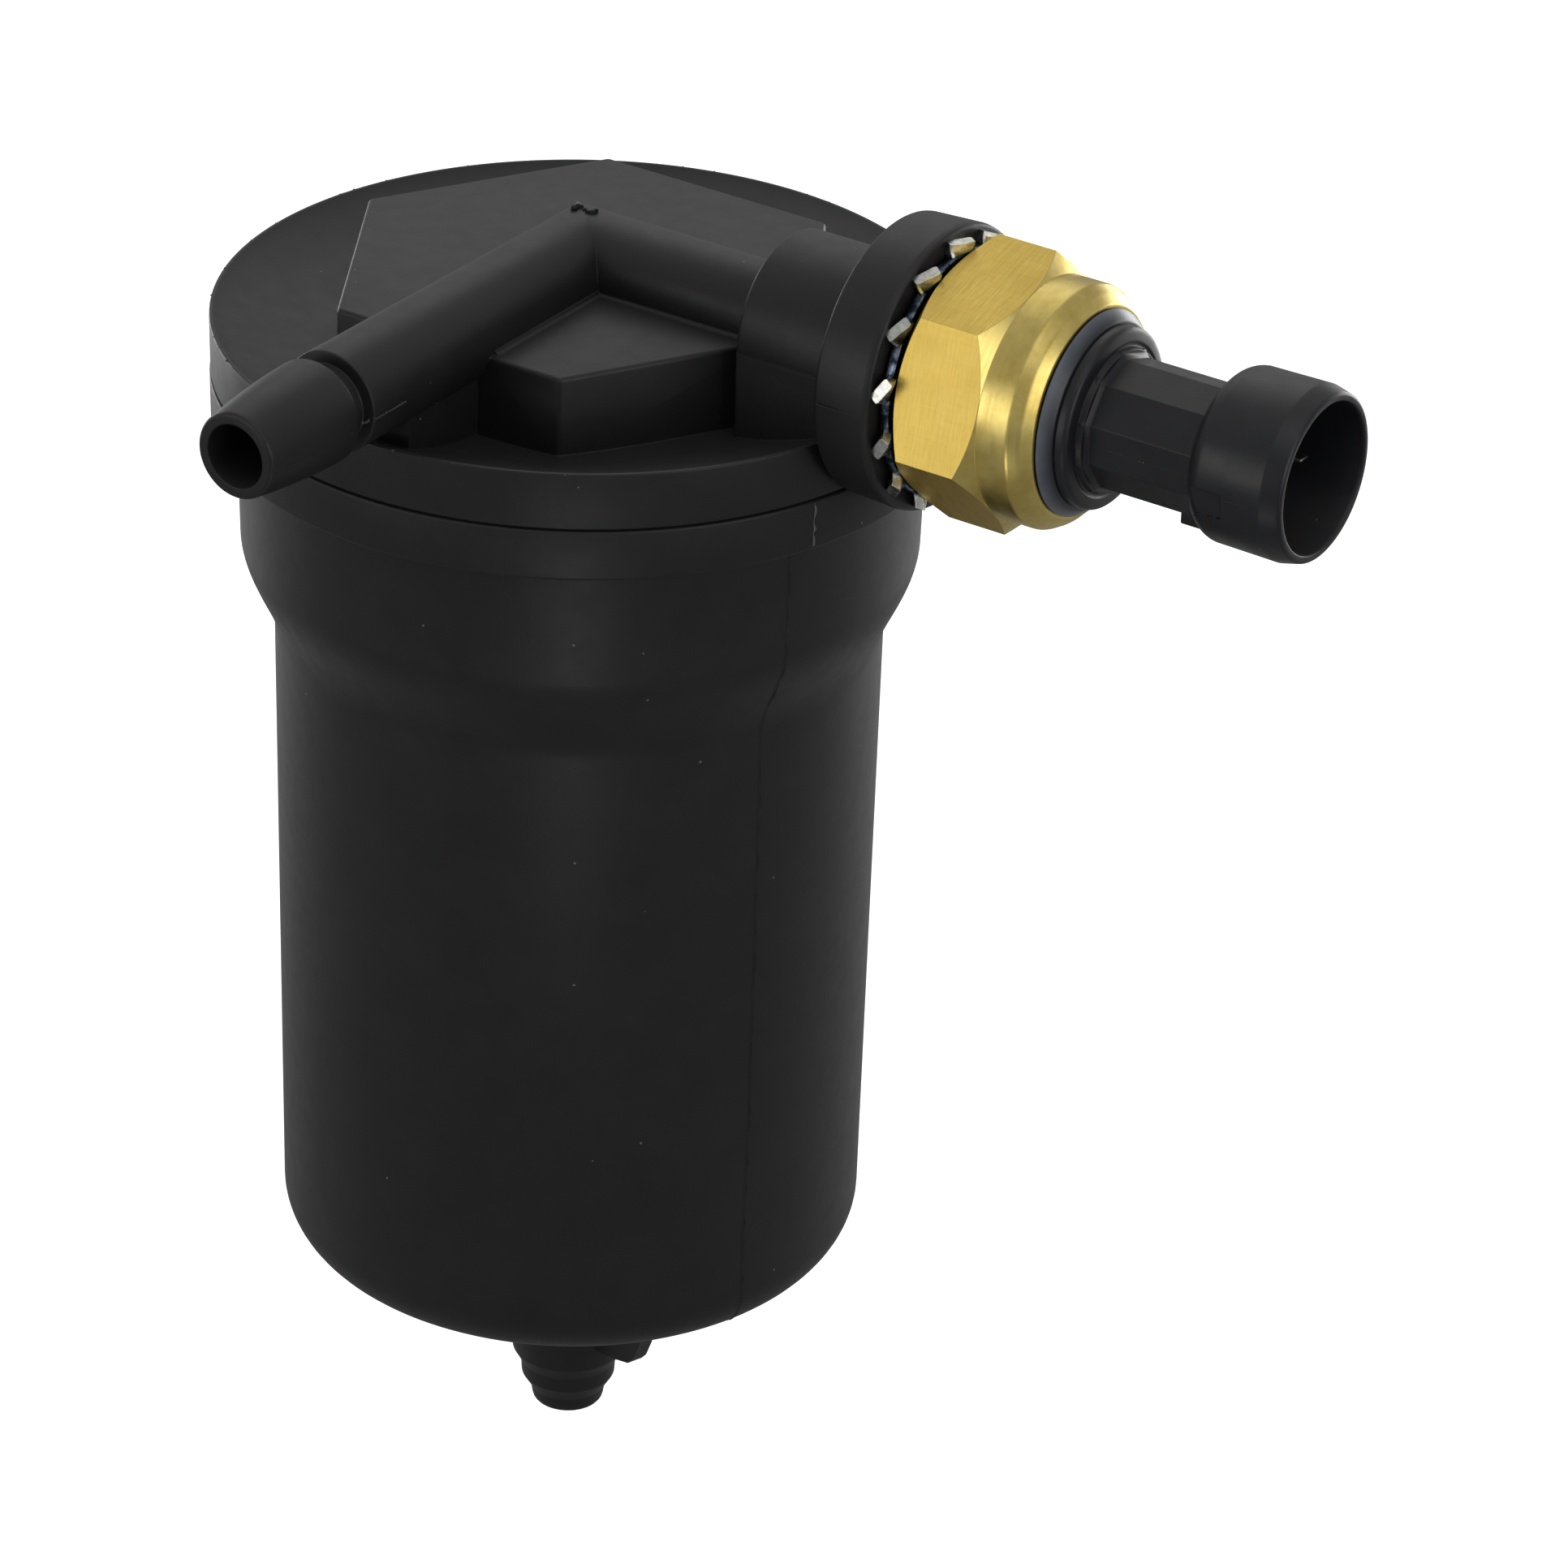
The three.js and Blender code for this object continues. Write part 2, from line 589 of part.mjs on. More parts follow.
function connectorHousing() {
  const plug = toSolid(turnX([
    [0, HOUSING_X],
    [CAVITY_R - GAP, HOUSING_X],
    [CAVITY_R - GAP, LIP_X],
    [RING_IN - GAP, LIP_X],
    [RING_IN - GAP, RING_X[1] + GAP],
    [RING_IN + 0.1, RING_X[1] + GAP],
    [9.05, RING_X[1] + 1.1],
    [8, RING_X[1] + 2.1],
    [NECK_CORNER_R - 0.35, NECK_X],
    [0, NECK_X],
  ], MEDIUM));
  const neck = prism(NECK_CORNER_R, NECK_SIDES, NECK_X - 1, SHROUD_X[0] + 1);
  neck.rotateY(Math.PI / 2).translate(0, 0, AXIS_Z);
  const shroud = toSolid(turnX([
    [0, SHROUD_X[0]],
    ...arc(SHROUD_R - SHROUD_ROUND, SHROUD_X[0] + SHROUD_ROUND, SHROUD_ROUND, -90, 0, 4),
    [SHROUD_R, SHROUD_X[1] - 2.2],
    [MOUTH_R, SHROUD_X[1] - 0.2],
    [MOUTH_R - 0.2, SHROUD_X[1]],
    [0, SHROUD_X[1]],
  ], MEDIUM, SHROUD_Z));
  const socket = toSolid(turnX(rod(SOCKET_R, SOCKET_X, SHROUD_X[1] + 1), MEDIUM, SHROUD_Z));
  let housing = cut(join(plug, toSolid(neck), shroud, latchLug()), socket);
  for (let i = -1; i <= 1; i += 1) {
    const y = i * PIN_STEP;
    const [halfY, halfZ] = PIN_SLOT_HALF;
    const slot = block(HOUSING_X - 1, SOCKET_X + 1, y - halfY, y + halfY, AXIS_Z - halfZ, AXIS_Z + halfZ);
    housing = cut(housing, toSolid(slot));
  }
  return toGeometry(housing);
}

// The small ramp lug low on the back of the shroud that a mating plug's latch rides over.
function latchLug() {
  const inner = -NECK_CORNER_R + 2;
  const side = outlineOf([
    [LUG_X[0], inner], [LUG_X[0], -LUG_DROP + 0.8], [LUG_X[0] + 0.6, -LUG_DROP],
    [LUG_X[1], -LUG_DROP], [LUG_X[1], inner],
  ]);
  const lug = new THREE.ExtrudeGeometry(side, { depth: 2 * LUG_HALF, bevelEnabled: false });
  return toSolid(lug.translate(0, 0, -LUG_HALF).rotateX(Math.PI / 2).translate(0, 0, AXIS_Z));
}

function sensor() {
  add('sensor_body', 'brass', sensorBody());
  add('lock_washer', 'zinc', lockWasher());
  add('sensor_seal', 'rubber', turnX(seal(7.9, SEAT_SENSOR_X + 1.3, 1), MEDIUM));
  add('cell_seal', 'rubber', turnX(seal(8.6, CAVITY_X + 1.3, 1), MEDIUM));
  add('pressure_cell', 'ceramic', turnX(rod(CAVITY_R - 0.5, ...CELL_X), MEDIUM));
  add('sensor_board', 'board', turnX(rod(CAVITY_R - 0.6, ...BOARD_X), MEDIUM));
  add('housing_seal', 'grey_rubber', turnX([
    [RING_IN, RING_X[0]],
    [LIP_R - 0.3, RING_X[0]],
    [RING_IN + 0.5, RING_X[1]],
    [RING_IN, RING_X[1]],
  ], MEDIUM));
  add('connector_housing', 'connector', connectorHousing());
  const [halfY, halfZ] = PIN_HALF;
  for (let i = 0; i < 3; i += 1) {
    const y = (i - 1) * PIN_STEP;
    const pin = block(BOARD_X[1] + GAP, PIN_TIP, y - halfY, y + halfY, AXIS_Z - halfZ, AXIS_Z + halfZ);
    add(`terminal_${i + 1}`, 'tin', pin);
  }
}

// ---- assembly -----------------------------------------------------------------------------------
add('bowl', 'nylon', canister());
add('lid', 'nylon', lid());
add('lid_seal', 'rubber', turn(ring(BORE_R + 0.4, SEAT_R - GAP, SEAT_Z + GAP, COLLAR_TOP + 0.2), LARGE));
magnetCore();
strainer();
sensor();

export default group;
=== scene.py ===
"""Magnetic system filter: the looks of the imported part.

A black moulded canister with a screw lid, a mitred hose nozzle, a magnet core in a strainer basket,
and a brass pressure sensor with a round sealed connector.

Lengths below are in millimetres in the part's frame, and mesh_object() turns them into metres. The origin
is on the canister's axis under its collar, +X is the sensor's axis, and -Y is the way the nozzle points.
"""

import json
import math
import random

import bmesh
import bpy
from mathutils import Matrix, Vector, noise

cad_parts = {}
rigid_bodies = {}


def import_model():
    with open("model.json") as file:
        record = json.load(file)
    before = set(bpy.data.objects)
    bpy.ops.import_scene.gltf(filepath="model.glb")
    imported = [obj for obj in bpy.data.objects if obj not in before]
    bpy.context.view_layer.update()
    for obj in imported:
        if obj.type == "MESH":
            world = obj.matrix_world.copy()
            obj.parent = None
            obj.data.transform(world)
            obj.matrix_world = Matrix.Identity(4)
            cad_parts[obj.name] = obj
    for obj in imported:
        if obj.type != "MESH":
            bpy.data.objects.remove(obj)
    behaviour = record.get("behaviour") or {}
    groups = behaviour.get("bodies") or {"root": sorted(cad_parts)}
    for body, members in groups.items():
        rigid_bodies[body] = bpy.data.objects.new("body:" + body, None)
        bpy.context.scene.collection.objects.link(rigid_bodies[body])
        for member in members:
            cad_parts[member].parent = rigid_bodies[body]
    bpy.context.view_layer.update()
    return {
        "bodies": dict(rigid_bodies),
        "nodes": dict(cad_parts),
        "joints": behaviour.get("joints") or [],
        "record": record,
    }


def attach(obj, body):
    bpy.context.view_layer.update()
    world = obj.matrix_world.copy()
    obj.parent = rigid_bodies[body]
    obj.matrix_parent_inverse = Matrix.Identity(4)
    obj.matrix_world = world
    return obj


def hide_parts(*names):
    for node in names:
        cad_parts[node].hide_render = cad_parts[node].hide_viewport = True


MM = 0.001
UP = Vector((0, 0, 1))
FINE = 160  # sides of the canister's rounds
ROUND = 96  # sides of the sensor's rounds
SMALL = 64  # sides of tubes
CREASE = 32.0  # edges sharper than this many degrees stay crisp
AXIS_Z = 19.0  # height of the nozzle's and the sensor's axis

# canister
COLLAR_R = 40.9
COLLAR_TOP = 5.8
NECK_R = 37.8
FLARE_Z = (-13.6, -25.2)
BODY_R = 34.05
BASE_R = 33.35
BASE_Z = -103.6
BASE_ROUND = 6.4
FLOOR_Z = -100.6
WALL = 2.6
BORE_R = 35.2
SEAT_R = 38.4
SEAT_Z = 3.6
LEDGE_Z = -15.0
SPIGOT_TIP = -129.0
PARTING = -20.3  # azimuth of the mould's parting plane, degrees
SEAM_TURN = 1.4  # how far the seam on the wall has wandered from it
BOWL_THREAD_R = 35.02
GUSSET_HALF = 1.0

# lid
LID_R = 41.0
LID_RIM = 12.6
LID_FOOT = 6.3
DISH_R = 22.0
DISH_EDGE_R = 40.35
DISH_Z = 8.3
SKIRT_R = 34.0
SKIRT_IN = 30.5
SKIRT_BOTTOM = -10.8
PLATE_Z = 5.3
HEX_R = 29.4
HEX_TOP = 18.0
POCKET_R = 21.0
POCKET_TOP = 12.0
LID_THREAD_R = 34.85
LID_PITCH = 4.0
FILLET = 0.55

# gallery, boss and flange
TUBE_R = 5.75
TUBE_BORE = 3.55
TUBE_END = 46.1
GROOVE_R = 4.4
GROOVE_END = 48.9
NOZZLE_R = 5.86
NOZZLE_TIP = 62.35
NOZZLE_SLIM = 0.12  # radius that the nozzle loses evenly along its taper
NOZZLE_CURVE = 0.86  # and radius that it loses faster and faster
TAPER_END = 61.4
TUBE_PARTING_Z = AXIS_Z - 0.4
WEB_HALF = 4.0
WEB_END = 37.8
ARM_R = 5.5
BOSS_R = 10.15
BOSS_X = 26.7
FLANGE_X = 40.2
FLANGE_R = 15.85
FACE_X = 47.1
RELIEF_R = 41.25
PORT_R = 6.65
PORT_X = 39.0
COUNTERBORE_R = 9.2
COUNTERBORE_X = 44.5

# magnet core
HUB_R = 9.0
HUB_IN = 6.3
HUB_BOTTOM = -13.0
SLEEVE_R = 8.5
SLEEVE_IN = 7.9
SLEEVE_TOP = -15.3
SLEEVE_BOTTOM = -92.0
MAGNETS = 4
MAGNET_R = 7.5
MAGNET_TALL = 14.4
POLE_TALL = 2.0
STACK_GAP = 0.3

# basket
BASKET_R = 26.0
BASKET_IN = 23.4
BASKET_BOTTOM = -97.0
CAP_TOP = -94.6
FLANGE_Z = (-14.7, -11.1)
FLANGE_OUT = 34.6
HOOPS = (-34.6, -54.4, -74.2)
SCREEN_R = 22.85
WIRE_R = 0.14
WIRES = 96
WIRE_PITCH = 1.5

# sensor
HEX_AF = 27.0
HEX_X = (48.9, 59.0)
HEX_FULL_X = (50.5, 57.3)
HEX_TURN = -14.4
BRASS_R = 13.45
BRASS_END = 63.0
LIP_X = 65.0
LIP_R = 11.7
CAVITY_R = 11.2
CAVITY_X = 53.0
STUB_R = 5.75
STUB_THREAD_R = 6.45
STUB_TIP = 33.0
SENSOR_PITCH = 1.337
WASHER_R = 15.1
WASHER_ROOT = 13.75
WASHER_IN = 7.2
WASHER_X = (FACE_X + HEX_X[0]) / 2
WASHER_THICK = 1.0
TEETH = 14
TEETH_TURN = 25.0
TOOTH_ROOT_R = 12.55
TOOTH_THICK = 0.62  # half sizes of a tooth's section
TOOTH_WIDE = 1.6
TOOTH_TAPER = 0.15
TOOTH_LEAN = 0.15
TOOTH_TWIST = -34  # degrees
HOUSING_X = 61.3
NECK_SIDES = 10
NECK_CORNER_R = 7.25
NECK_X = (68.0, 82.8)
SHROUD_Z = AXIS_Z + 0.6
SHROUD_X = (81.3, 93.2)
SHROUD_R = 9.68
SHROUD_ROUND = 2.6
LUG_X = (78.4, 83.4)
LUG_DROP = (7.6, 5.2)  # how far its faces lie under the axis
NOTCH_X = (79, 86.4)
MOUTH_R = 9.2
SOCKET_R = 8.2
SOCKET_X = 82.6
PIN_TIP = 88.6
PIN_STEP = 3.9


# ---- outlines ----
def arc(centre, radius, start, end, steps):
    """Points on an arc about (r, z) from one angle to another, in degrees."""
    points = []
    for i in range(steps + 1):
        angle = math.radians(start + (end - start) * i / steps)
        points.append((centre[0] + radius * math.cos(angle), centre[1] + radius * math.sin(angle)))
    return points


def rounded(corners, steps=4):
    """An outline from (r, z) or (r, z, fillet) corners, each fillet drawn as a smooth bend."""
    points = []
    for i, corner in enumerate(corners):
        here = Vector(corner[:2])
        radius = corner[2] if len(corner) > 2 else 0
        if not radius or i in (0, len(corners) - 1):
            points.append(tuple(here))
            continue
        to_last = Vector(corners[i - 1][:2]) - here
        to_next = Vector(corners[i + 1][:2]) - here
        half = to_last.angle(to_next) / 2
        if half > math.radians(88):
            points.append(tuple(here))
            continue
        back = min(radius / math.tan(half), 0.49 * to_last.length, 0.49 * to_next.length)
        start = here + to_last.normalized() * back
        end = here + to_next.normalized() * back
        for k in range(steps + 1):
            t = k / steps
            spot = start.lerp(here, t).lerp(here.lerp(end, t), t)
            points.append(tuple(spot))
    return points


def smoothstep(t):
    return t * t * (3 - 2 * t)


# ---- meshes ----
def mesh_object(name, spots, faces):
    """A mesh object from corners in millimetres."""
    mesh = bpy.data.meshes.new(name)
    mesh.from_pydata([tuple(c * MM for c in spot) for spot in spots], [], faces)
    mesh.validate()
    obj = bpy.data.objects.new(name, mesh)
    bpy.context.scene.collection.objects.link(obj)
    shape = bmesh.new()
    shape.from_mesh(mesh)
    bmesh.ops.recalc_face_normals(shape, faces=shape.faces)
    shape.to_mesh(mesh)
    shape.free()
    return obj


def sweep(rings):
    """Corners and faces of a closed tube through rings of equal length, capped at both ends."""
    count = len(rings[0])
    spots = [spot for ring in rings for spot in ring]
    faces = [list(range(count)), list(range(len(spots) - count, len(spots)))]
    for row in range(len(rings) - 1):
        for k in range(count):
            nxt = (k + 1) % count
            base = row * count
            faces.append((base + k, base + nxt, base + count + nxt, base + count + k))
    return spots, faces


def lathe(name, outline, sides=ROUND, axis="Z", height=AXIS_Z):
    """A turned solid. The outline is (radius, distance) along +Z, or along +X or -Y at a height."""
    closed = outline[0][0] > 1e-6 or outline[-1][0] > 1e-6
    spots, rows = [], []
    for radius, along in outline:
        if radius < 1e-6:
            rows.append([len(spots)] * sides)
            spots.append((0, 0, along))
            continue
        rows.append(list(range(len(spots), len(spots) + sides)))
        for k in range(sides):
            angle = 2 * math.pi * k / sides
            spots.append((radius * math.cos(angle), radius * math.sin(angle), along))
    if closed:
        rows.append(rows[0])
    faces = []
    for lower, upper in zip(rows, rows[1:]):
        for k in range(sides):
            nxt = (k + 1) % sides
            face = list(dict.fromkeys((lower[k], lower[nxt], upper[nxt], upper[k])))
            if len(face) > 2:
                faces.append(face)
    place = {
        "Z": lambda x, y, z: (x, y, z),
        "X": lambda x, y, z: (z, y, height - x),
        "-Y": lambda x, y, z: (x, -z, height + y),
    }[axis]
    return mesh_object(name, [place(*spot) for spot in spots], faces)


def box(name, x, y, z, bevel=0.0):
    """A block between two x, two y and two z, with its edges rounded by a bevel."""
    spots = [(a, b, c) for a in x for b in y for c in z]
    faces = [(0, 1, 3, 2), (4, 6, 7, 5), (0, 4, 5, 1), (2, 3, 7, 6), (0, 2, 6, 4), (1, 5, 7, 3)]
    obj = mesh_object(name, spots, faces)
    if bevel:
        bevel_edges(obj, bevel)
    return obj


def prism(name, corner_r, sides, along, turn=0.0, axis="Z", bevel=0.0):
    """A regular prism about +Z or +X. The first corner is at the turn angle from +X, or from -Z."""
    rings = []
    for end in along:
        ring = []
        for k in range(sides):
            angle = math.radians(turn + 360 * k / sides)
            a, b = corner_r * math.cos(angle), corner_r * math.sin(angle)
            ring.append((a, b, end) if axis == "Z" else (end, b, AXIS_Z - a))
        rings.append(ring)
    obj = mesh_object(name, *sweep(rings))
    if bevel:
        bevel_edges(obj, bevel)
    return obj


def bevel_edges(obj, width, segments=4):
    shape = bmesh.new()
    shape.from_mesh(obj.data)
    bmesh.ops.bevel(
        shape, geom=list(shape.edges), offset=width * MM, segments=segments, profile=0.5, affect="EDGES"
    )
    shape.to_mesh(obj.data)
    shape.free()


def boolean(target, operation, others):
    """Joins, cuts or trims a mesh with others, which are used up."""
    for other in others:
        modifier = target.modifiers.new("boolean", "BOOLEAN")
        modifier.operation = operation
        modifier.solver = "MANIFOLD"
        modifier.object = other
        depsgraph = bpy.context.evaluated_depsgraph_get()
        mesh = bpy.data.meshes.new_from_object(target.evaluated_get(depsgraph))
        mesh.materials.clear()
        target.modifiers.clear()
        old = target.data
        target.data = mesh
        bpy.data.meshes.remove(old)
        bpy.data.objects.remove(other)
    target.data.name = target.name
    return target


def union(target, *others):
    return boolean(target, "UNION", others)


def subtract(target, *others):
    return boolean(target, "DIFFERENCE", others)


def intersect(target, *others):
    return boolean(target, "INTERSECT", others)


def slice_mesh(obj, normal, offset=0.0):
    """Keeps what is behind a plane through the origin, moved along its normal, and closes the cut."""
    shape = bmesh.new()
    shape.from_mesh(obj.data)
    facing = Vector(normal).normalized()
    geometry = list(shape.verts) + list(shape.edges) + list(shape.faces)
    cut = bmesh.ops.bisect_plane(
        shape, geom=geometry, plane_co=facing * offset * MM, plane_no=facing, clear_outer=True
    )
    rim = [item for item in cut["geom_cut"] if isinstance(item, bmesh.types.BMEdge)]
    bmesh.ops.holes_fill(shape, edges=rim)
    bmesh.ops.recalc_face_normals(shape, faces=shape.faces)
    shape.to_mesh(obj.data)
    shape.free()
    return obj


def shade(obj, angle):
    """Smooth shading, with edges sharper than the angle kept crisp."""
    shape = bmesh.new()
    shape.from_mesh(obj.data)
    bmesh.ops.remove_doubles(shape, verts=shape.verts, dist=1e-6)
    bmesh.ops.dissolve_degenerate(shape, edges=shape.edges, dist=1e-7)
    shape.to_mesh(obj.data)
    shape.free()
    for polygon in obj.data.polygons:
        polygon.use_smooth = True
    obj.data.set_sharp_from_angle(angle=math.radians(angle))
    return obj


def thread(name, root, crest, pitch, along, axis="Z", sides=64):
    """A helical ridge from root to crest radius, tapering away at both ends. It turns with +axis."""
    foot, top = 0.33 * pitch, 0.1 * pitch
    turns = (along[1] - along[0]) / pitch
    steps = int(turns * sides)
    buried = root - 0.15 * (1 if crest > root else -1)
    rings = []
    for i in range(steps + 1):
        angle = 2 * math.pi * i / sides
        fade = smoothstep(min(1, i / (sides / 4), (steps - i) / (sides / 4)))
        reach = root + (crest - root) * fade
        centre = along[0] + pitch * i / sides
        ring = []
        for radius, half in ((buried, foot), (reach, top), (reach, -top), (buried, -foot)):
            a, b, c = radius * math.cos(angle), radius * math.sin(angle), centre + half
            ring.append((a, b, c) if axis == "Z" else (c, b, AXIS_Z - a))
        rings.append(ring)
    return mesh_object(name, *sweep(rings))


def ring_outline(centre, height, radius, steps=20):
    """The round section of an O-ring, for lathe()."""
    return arc((centre, height), radius, 0, 360, steps)[:-1]


# ---- materials ----
class Nodes:
    """Small helpers round one material's node tree."""

    def __init__(self, name):
        self.material = bpy.data.materials.new(name)
        self.material.use_nodes = True
        self.tree = self.material.node_tree
        self.shader = self.tree.nodes["Principled BSDF"]
        coordinates = self.add("TexCoord")
        self.place = coordinates.outputs["Object"]
        self.facing = coordinates.outputs["Normal"]

    def add(self, kind, **settings):
        node = self.tree.nodes.new("ShaderNode" + kind)
        for key, value in settings.items():
            setattr(node, key, value)
        return node

    def feed(self, socket, value):
        """Links a node's output into an input, or sets the input to a plain value or colour."""
        if isinstance(value, bpy.types.NodeSocket):
            self.tree.links.new(value, socket)
        elif isinstance(value, tuple):
            socket.default_value = (*value, 1)
        else:
            socket.default_value = value

    def stretched(self, scale):
        mapping = self.add("Mapping")
        self.feed(mapping.inputs["Vector"], self.place)
        mapping.inputs["Scale"].default_value = scale
        return mapping.outputs["Vector"]

    def noise(self, scale, detail=3.0, roughness=0.5, vector=None):
        node = self.add("TexNoise")
        for key, level in (("Scale", scale), ("Detail", detail), ("Roughness", roughness)):
            node.inputs[key].default_value = level
        self.feed(node.inputs["Vector"], vector or self.place)
        return node.outputs["Fac"]

    def ramp(self, value, stops):
        node = self.add("ValToRGB")
        elements = node.color_ramp.elements
        while len(elements) < len(stops):
            elements.new(0.5)
        for element, (position, colour) in zip(elements, stops):
            element.position = position
            element.color = (*colour, 1)
        self.feed(node.inputs["Fac"], value)
        return node.outputs["Color"]

    def remap(self, value, start, end, low=0.0, high=1.0):
        """A value that runs evenly from low to high while another runs from start to end."""
        node = self.add("MapRange")
        for key, level in (("From Min", start), ("From Max", end), ("To Min", low), ("To Max", high)):
            node.inputs[key].default_value = level
        self.feed(node.inputs["Value"], value)
        return node.outputs["Result"]

    def spread(self, value, low, high):
        """A noise value, most of which lies between 0.3 and 0.7, spread over a range."""
        return self.remap(value, 0.3, 0.7, low, high)

    def parts(self, vector):
        node = self.add("SeparateXYZ")
        self.feed(node.inputs[0], vector)
        return node.outputs

    def compute(self, operation, first, second):
        node = self.add("Math", operation=operation)
        self.feed(node.inputs[0], first)
        self.feed(node.inputs[1], second)
        return node.outputs[0]

    def mix(self, share, first, second):
        node = self.add("Mix", data_type="RGBA")
        for index, value in ((0, share), (6, first), (7, second)):
            self.feed(node.inputs[index], value)
        return node.outputs[2]

    def bump(self, height, depth, normal=None):
        node = self.add("Bump")
        node.inputs["Strength"].default_value = 1.0
        node.inputs["Distance"].default_value = depth * MM
        self.feed(node.inputs["Height"], height)
        if normal:
            self.feed(node.inputs["Normal"], normal)
        return node.outputs["Normal"]

    def painted_top_light_and_dust(self, most):
        """How much a face is lightened by painted top light and fine dust: none on its sides, the most
        where it faces up.
        """
        return self.remap(self.parts(self.facing)["Z"], 0.5, 1.0, 0.0, most)

    def soft_edges(self, radius):
        node = self.add("Bevel", samples=6)
        node.inputs["Radius"].default_value = radius * MM
        return node.outputs["Normal"]

    def finish(self, **inputs):
        """Feeds the shader's inputs, named with underscores for their spaces, and gives the material."""
        for key, value in inputs.items():
            self.feed(self.shader.inputs[key.replace("_", " ")], value)
        return self.material


def srgb(*levels):
    """A linear colour from 0-255 display levels."""
    return tuple(
        (c / 255 / 12.92) if c / 255 <= 0.04045 else ((c / 255 + 0.055) / 1.055) ** 2.4 for c in levels
    )


# lighter grey for faces that point up: painted top light, with fine dust
TOP_LIGHT_AND_DUST_GREY = srgb(60, 60, 61)
MOST_TOP_LIGHT_AND_DUST = 0.42
FLECK = srgb(150, 150, 148)
FLECK_SIZE = 0.07  # radius of a speck, as a share of its cell
FLECK_SHARE = 0.05  # share of the cells that hold one
RING_FADE = (65.4, 66.4)  # where along the sensor the grey ring darkens


def moulded(name, dark, light, roughness=(0.41, 0.47), flecks=0.4, edge=0.25):
    """Moulded plastic: faint mottling, a fine sparked grain, and a few specks of dust."""
    nodes = Nodes(name)
    mottle = nodes.noise(140, 5, 0.65)
    colour = nodes.ramp(mottle, [(0.35, dark), (0.7, light)])
    cells = nodes.add("TexVoronoi")
    cells.inputs["Scale"].default_value = 520
    nodes.feed(cells.inputs["Vector"], nodes.place)
    pick = nodes.add("SeparateColor")
    nodes.feed(pick.inputs["Color"], cells.outputs["Color"])
    near = nodes.compute("LESS_THAN", cells.outputs["Distance"], FLECK_SIZE)
    rare = nodes.compute("LESS_THAN", pick.outputs[0], FLECK_SHARE)
    amount = nodes.compute("MULTIPLY", nodes.compute("MULTIPLY", near, rare), flecks)
    # faces that point up are painted lighter: painted top light, with fine dust
    colour = nodes.mix(nodes.painted_top_light_and_dust(MOST_TOP_LIGHT_AND_DUST), colour, TOP_LIGHT_AND_DUST_GREY)
    colour = nodes.mix(amount, colour, FLECK)
    grain = nodes.noise(2600, 2, 0.6)
    normal = nodes.bump(grain, 0.012, nodes.soft_edges(edge))
    rough = nodes.spread(nodes.noise(400, 3), *roughness)
    return nodes.finish(Base_Color=colour, Roughness=rough, Normal=normal, Specular_IOR_Level=0.34)


def rubber(name, colour, roughness=0.75):
    nodes = Nodes(name)
    tone = nodes.ramp(nodes.noise(300, 3), [(0.3, tuple(c * 0.8 for c in colour)), (0.7, colour)])
    normal = nodes.bump(nodes.noise(1800, 2), 0.01)
    return nodes.finish(Base_Color=tone, Roughness=roughness, Normal=normal)


def sealant():
    """The grey sealing ring, which darkens where it feathers out onto the black housing."""
    nodes = Nodes("grey_rubber")
    fade = nodes.remap(nodes.parts(nodes.place)["X"], RING_FADE[0] * MM, RING_FADE[1] * MM)
    tone = nodes.ramp(nodes.noise(260, 3), [(0.3, srgb(80, 86, 95)), (0.7, srgb(98, 103, 111))])
    colour = nodes.mix(fade, tone, srgb(34, 36, 40))
    normal = nodes.bump(nodes.noise(900, 2), 0.01, nodes.soft_edges(0.3))
    return nodes.finish(Base_Color=colour, Roughness=0.34, Normal=normal)


def drawn_brass():
    """Hexagon stock: fine marks across the bar, a few die lines along it, and faint tarnish."""
    nodes = Nodes("brass_drawn")
    across = nodes.noise(1, 5, 0.75, nodes.stretched((4200, 260, 260)))
    along = nodes.noise(1, 4, 0.7, nodes.stretched((240, 2600, 2600)))
    marks = nodes.mix(0.22, across, along)
    cloud = nodes.noise(170, 4, 0.6)
    tones = [(0.32, srgb(200, 168, 80)), (0.5, srgb(224, 194, 100)), (0.68, srgb(238, 213, 124))]
    bright = nodes.ramp(marks, tones)
    colour = nodes.mix(nodes.spread(cloud, 0.0, 0.4), bright, srgb(190, 158, 78))
    normal = nodes.bump(marks, 0.012, nodes.soft_edges(0.1))
    rough = nodes.spread(marks, 0.4, 0.5)
    return nodes.finish(Base_Color=colour, Metallic=1.0, Roughness=rough, Normal=normal)


def turned_brass():
    """Lathe-turned brass: fine rings about the sensor's axis and soft tarnish clouds."""
    nodes = Nodes("brass_turned")
    rings = nodes.noise(1, 3, 0.6, nodes.stretched((3200, 70, 70)))
    cloud = nodes.noise(150, 5, 0.65)
    colour = nodes.ramp(cloud, [(0.34, srgb(196, 170, 90)), (0.6, srgb(226, 204, 122))])
    normal = nodes.bump(rings, 0.006, nodes.soft_edges(0.12))
    rough = nodes.spread(rings, 0.3, 0.4)
    return nodes.finish(Base_Color=colour, Metallic=1.0, Roughness=rough, Normal=normal)


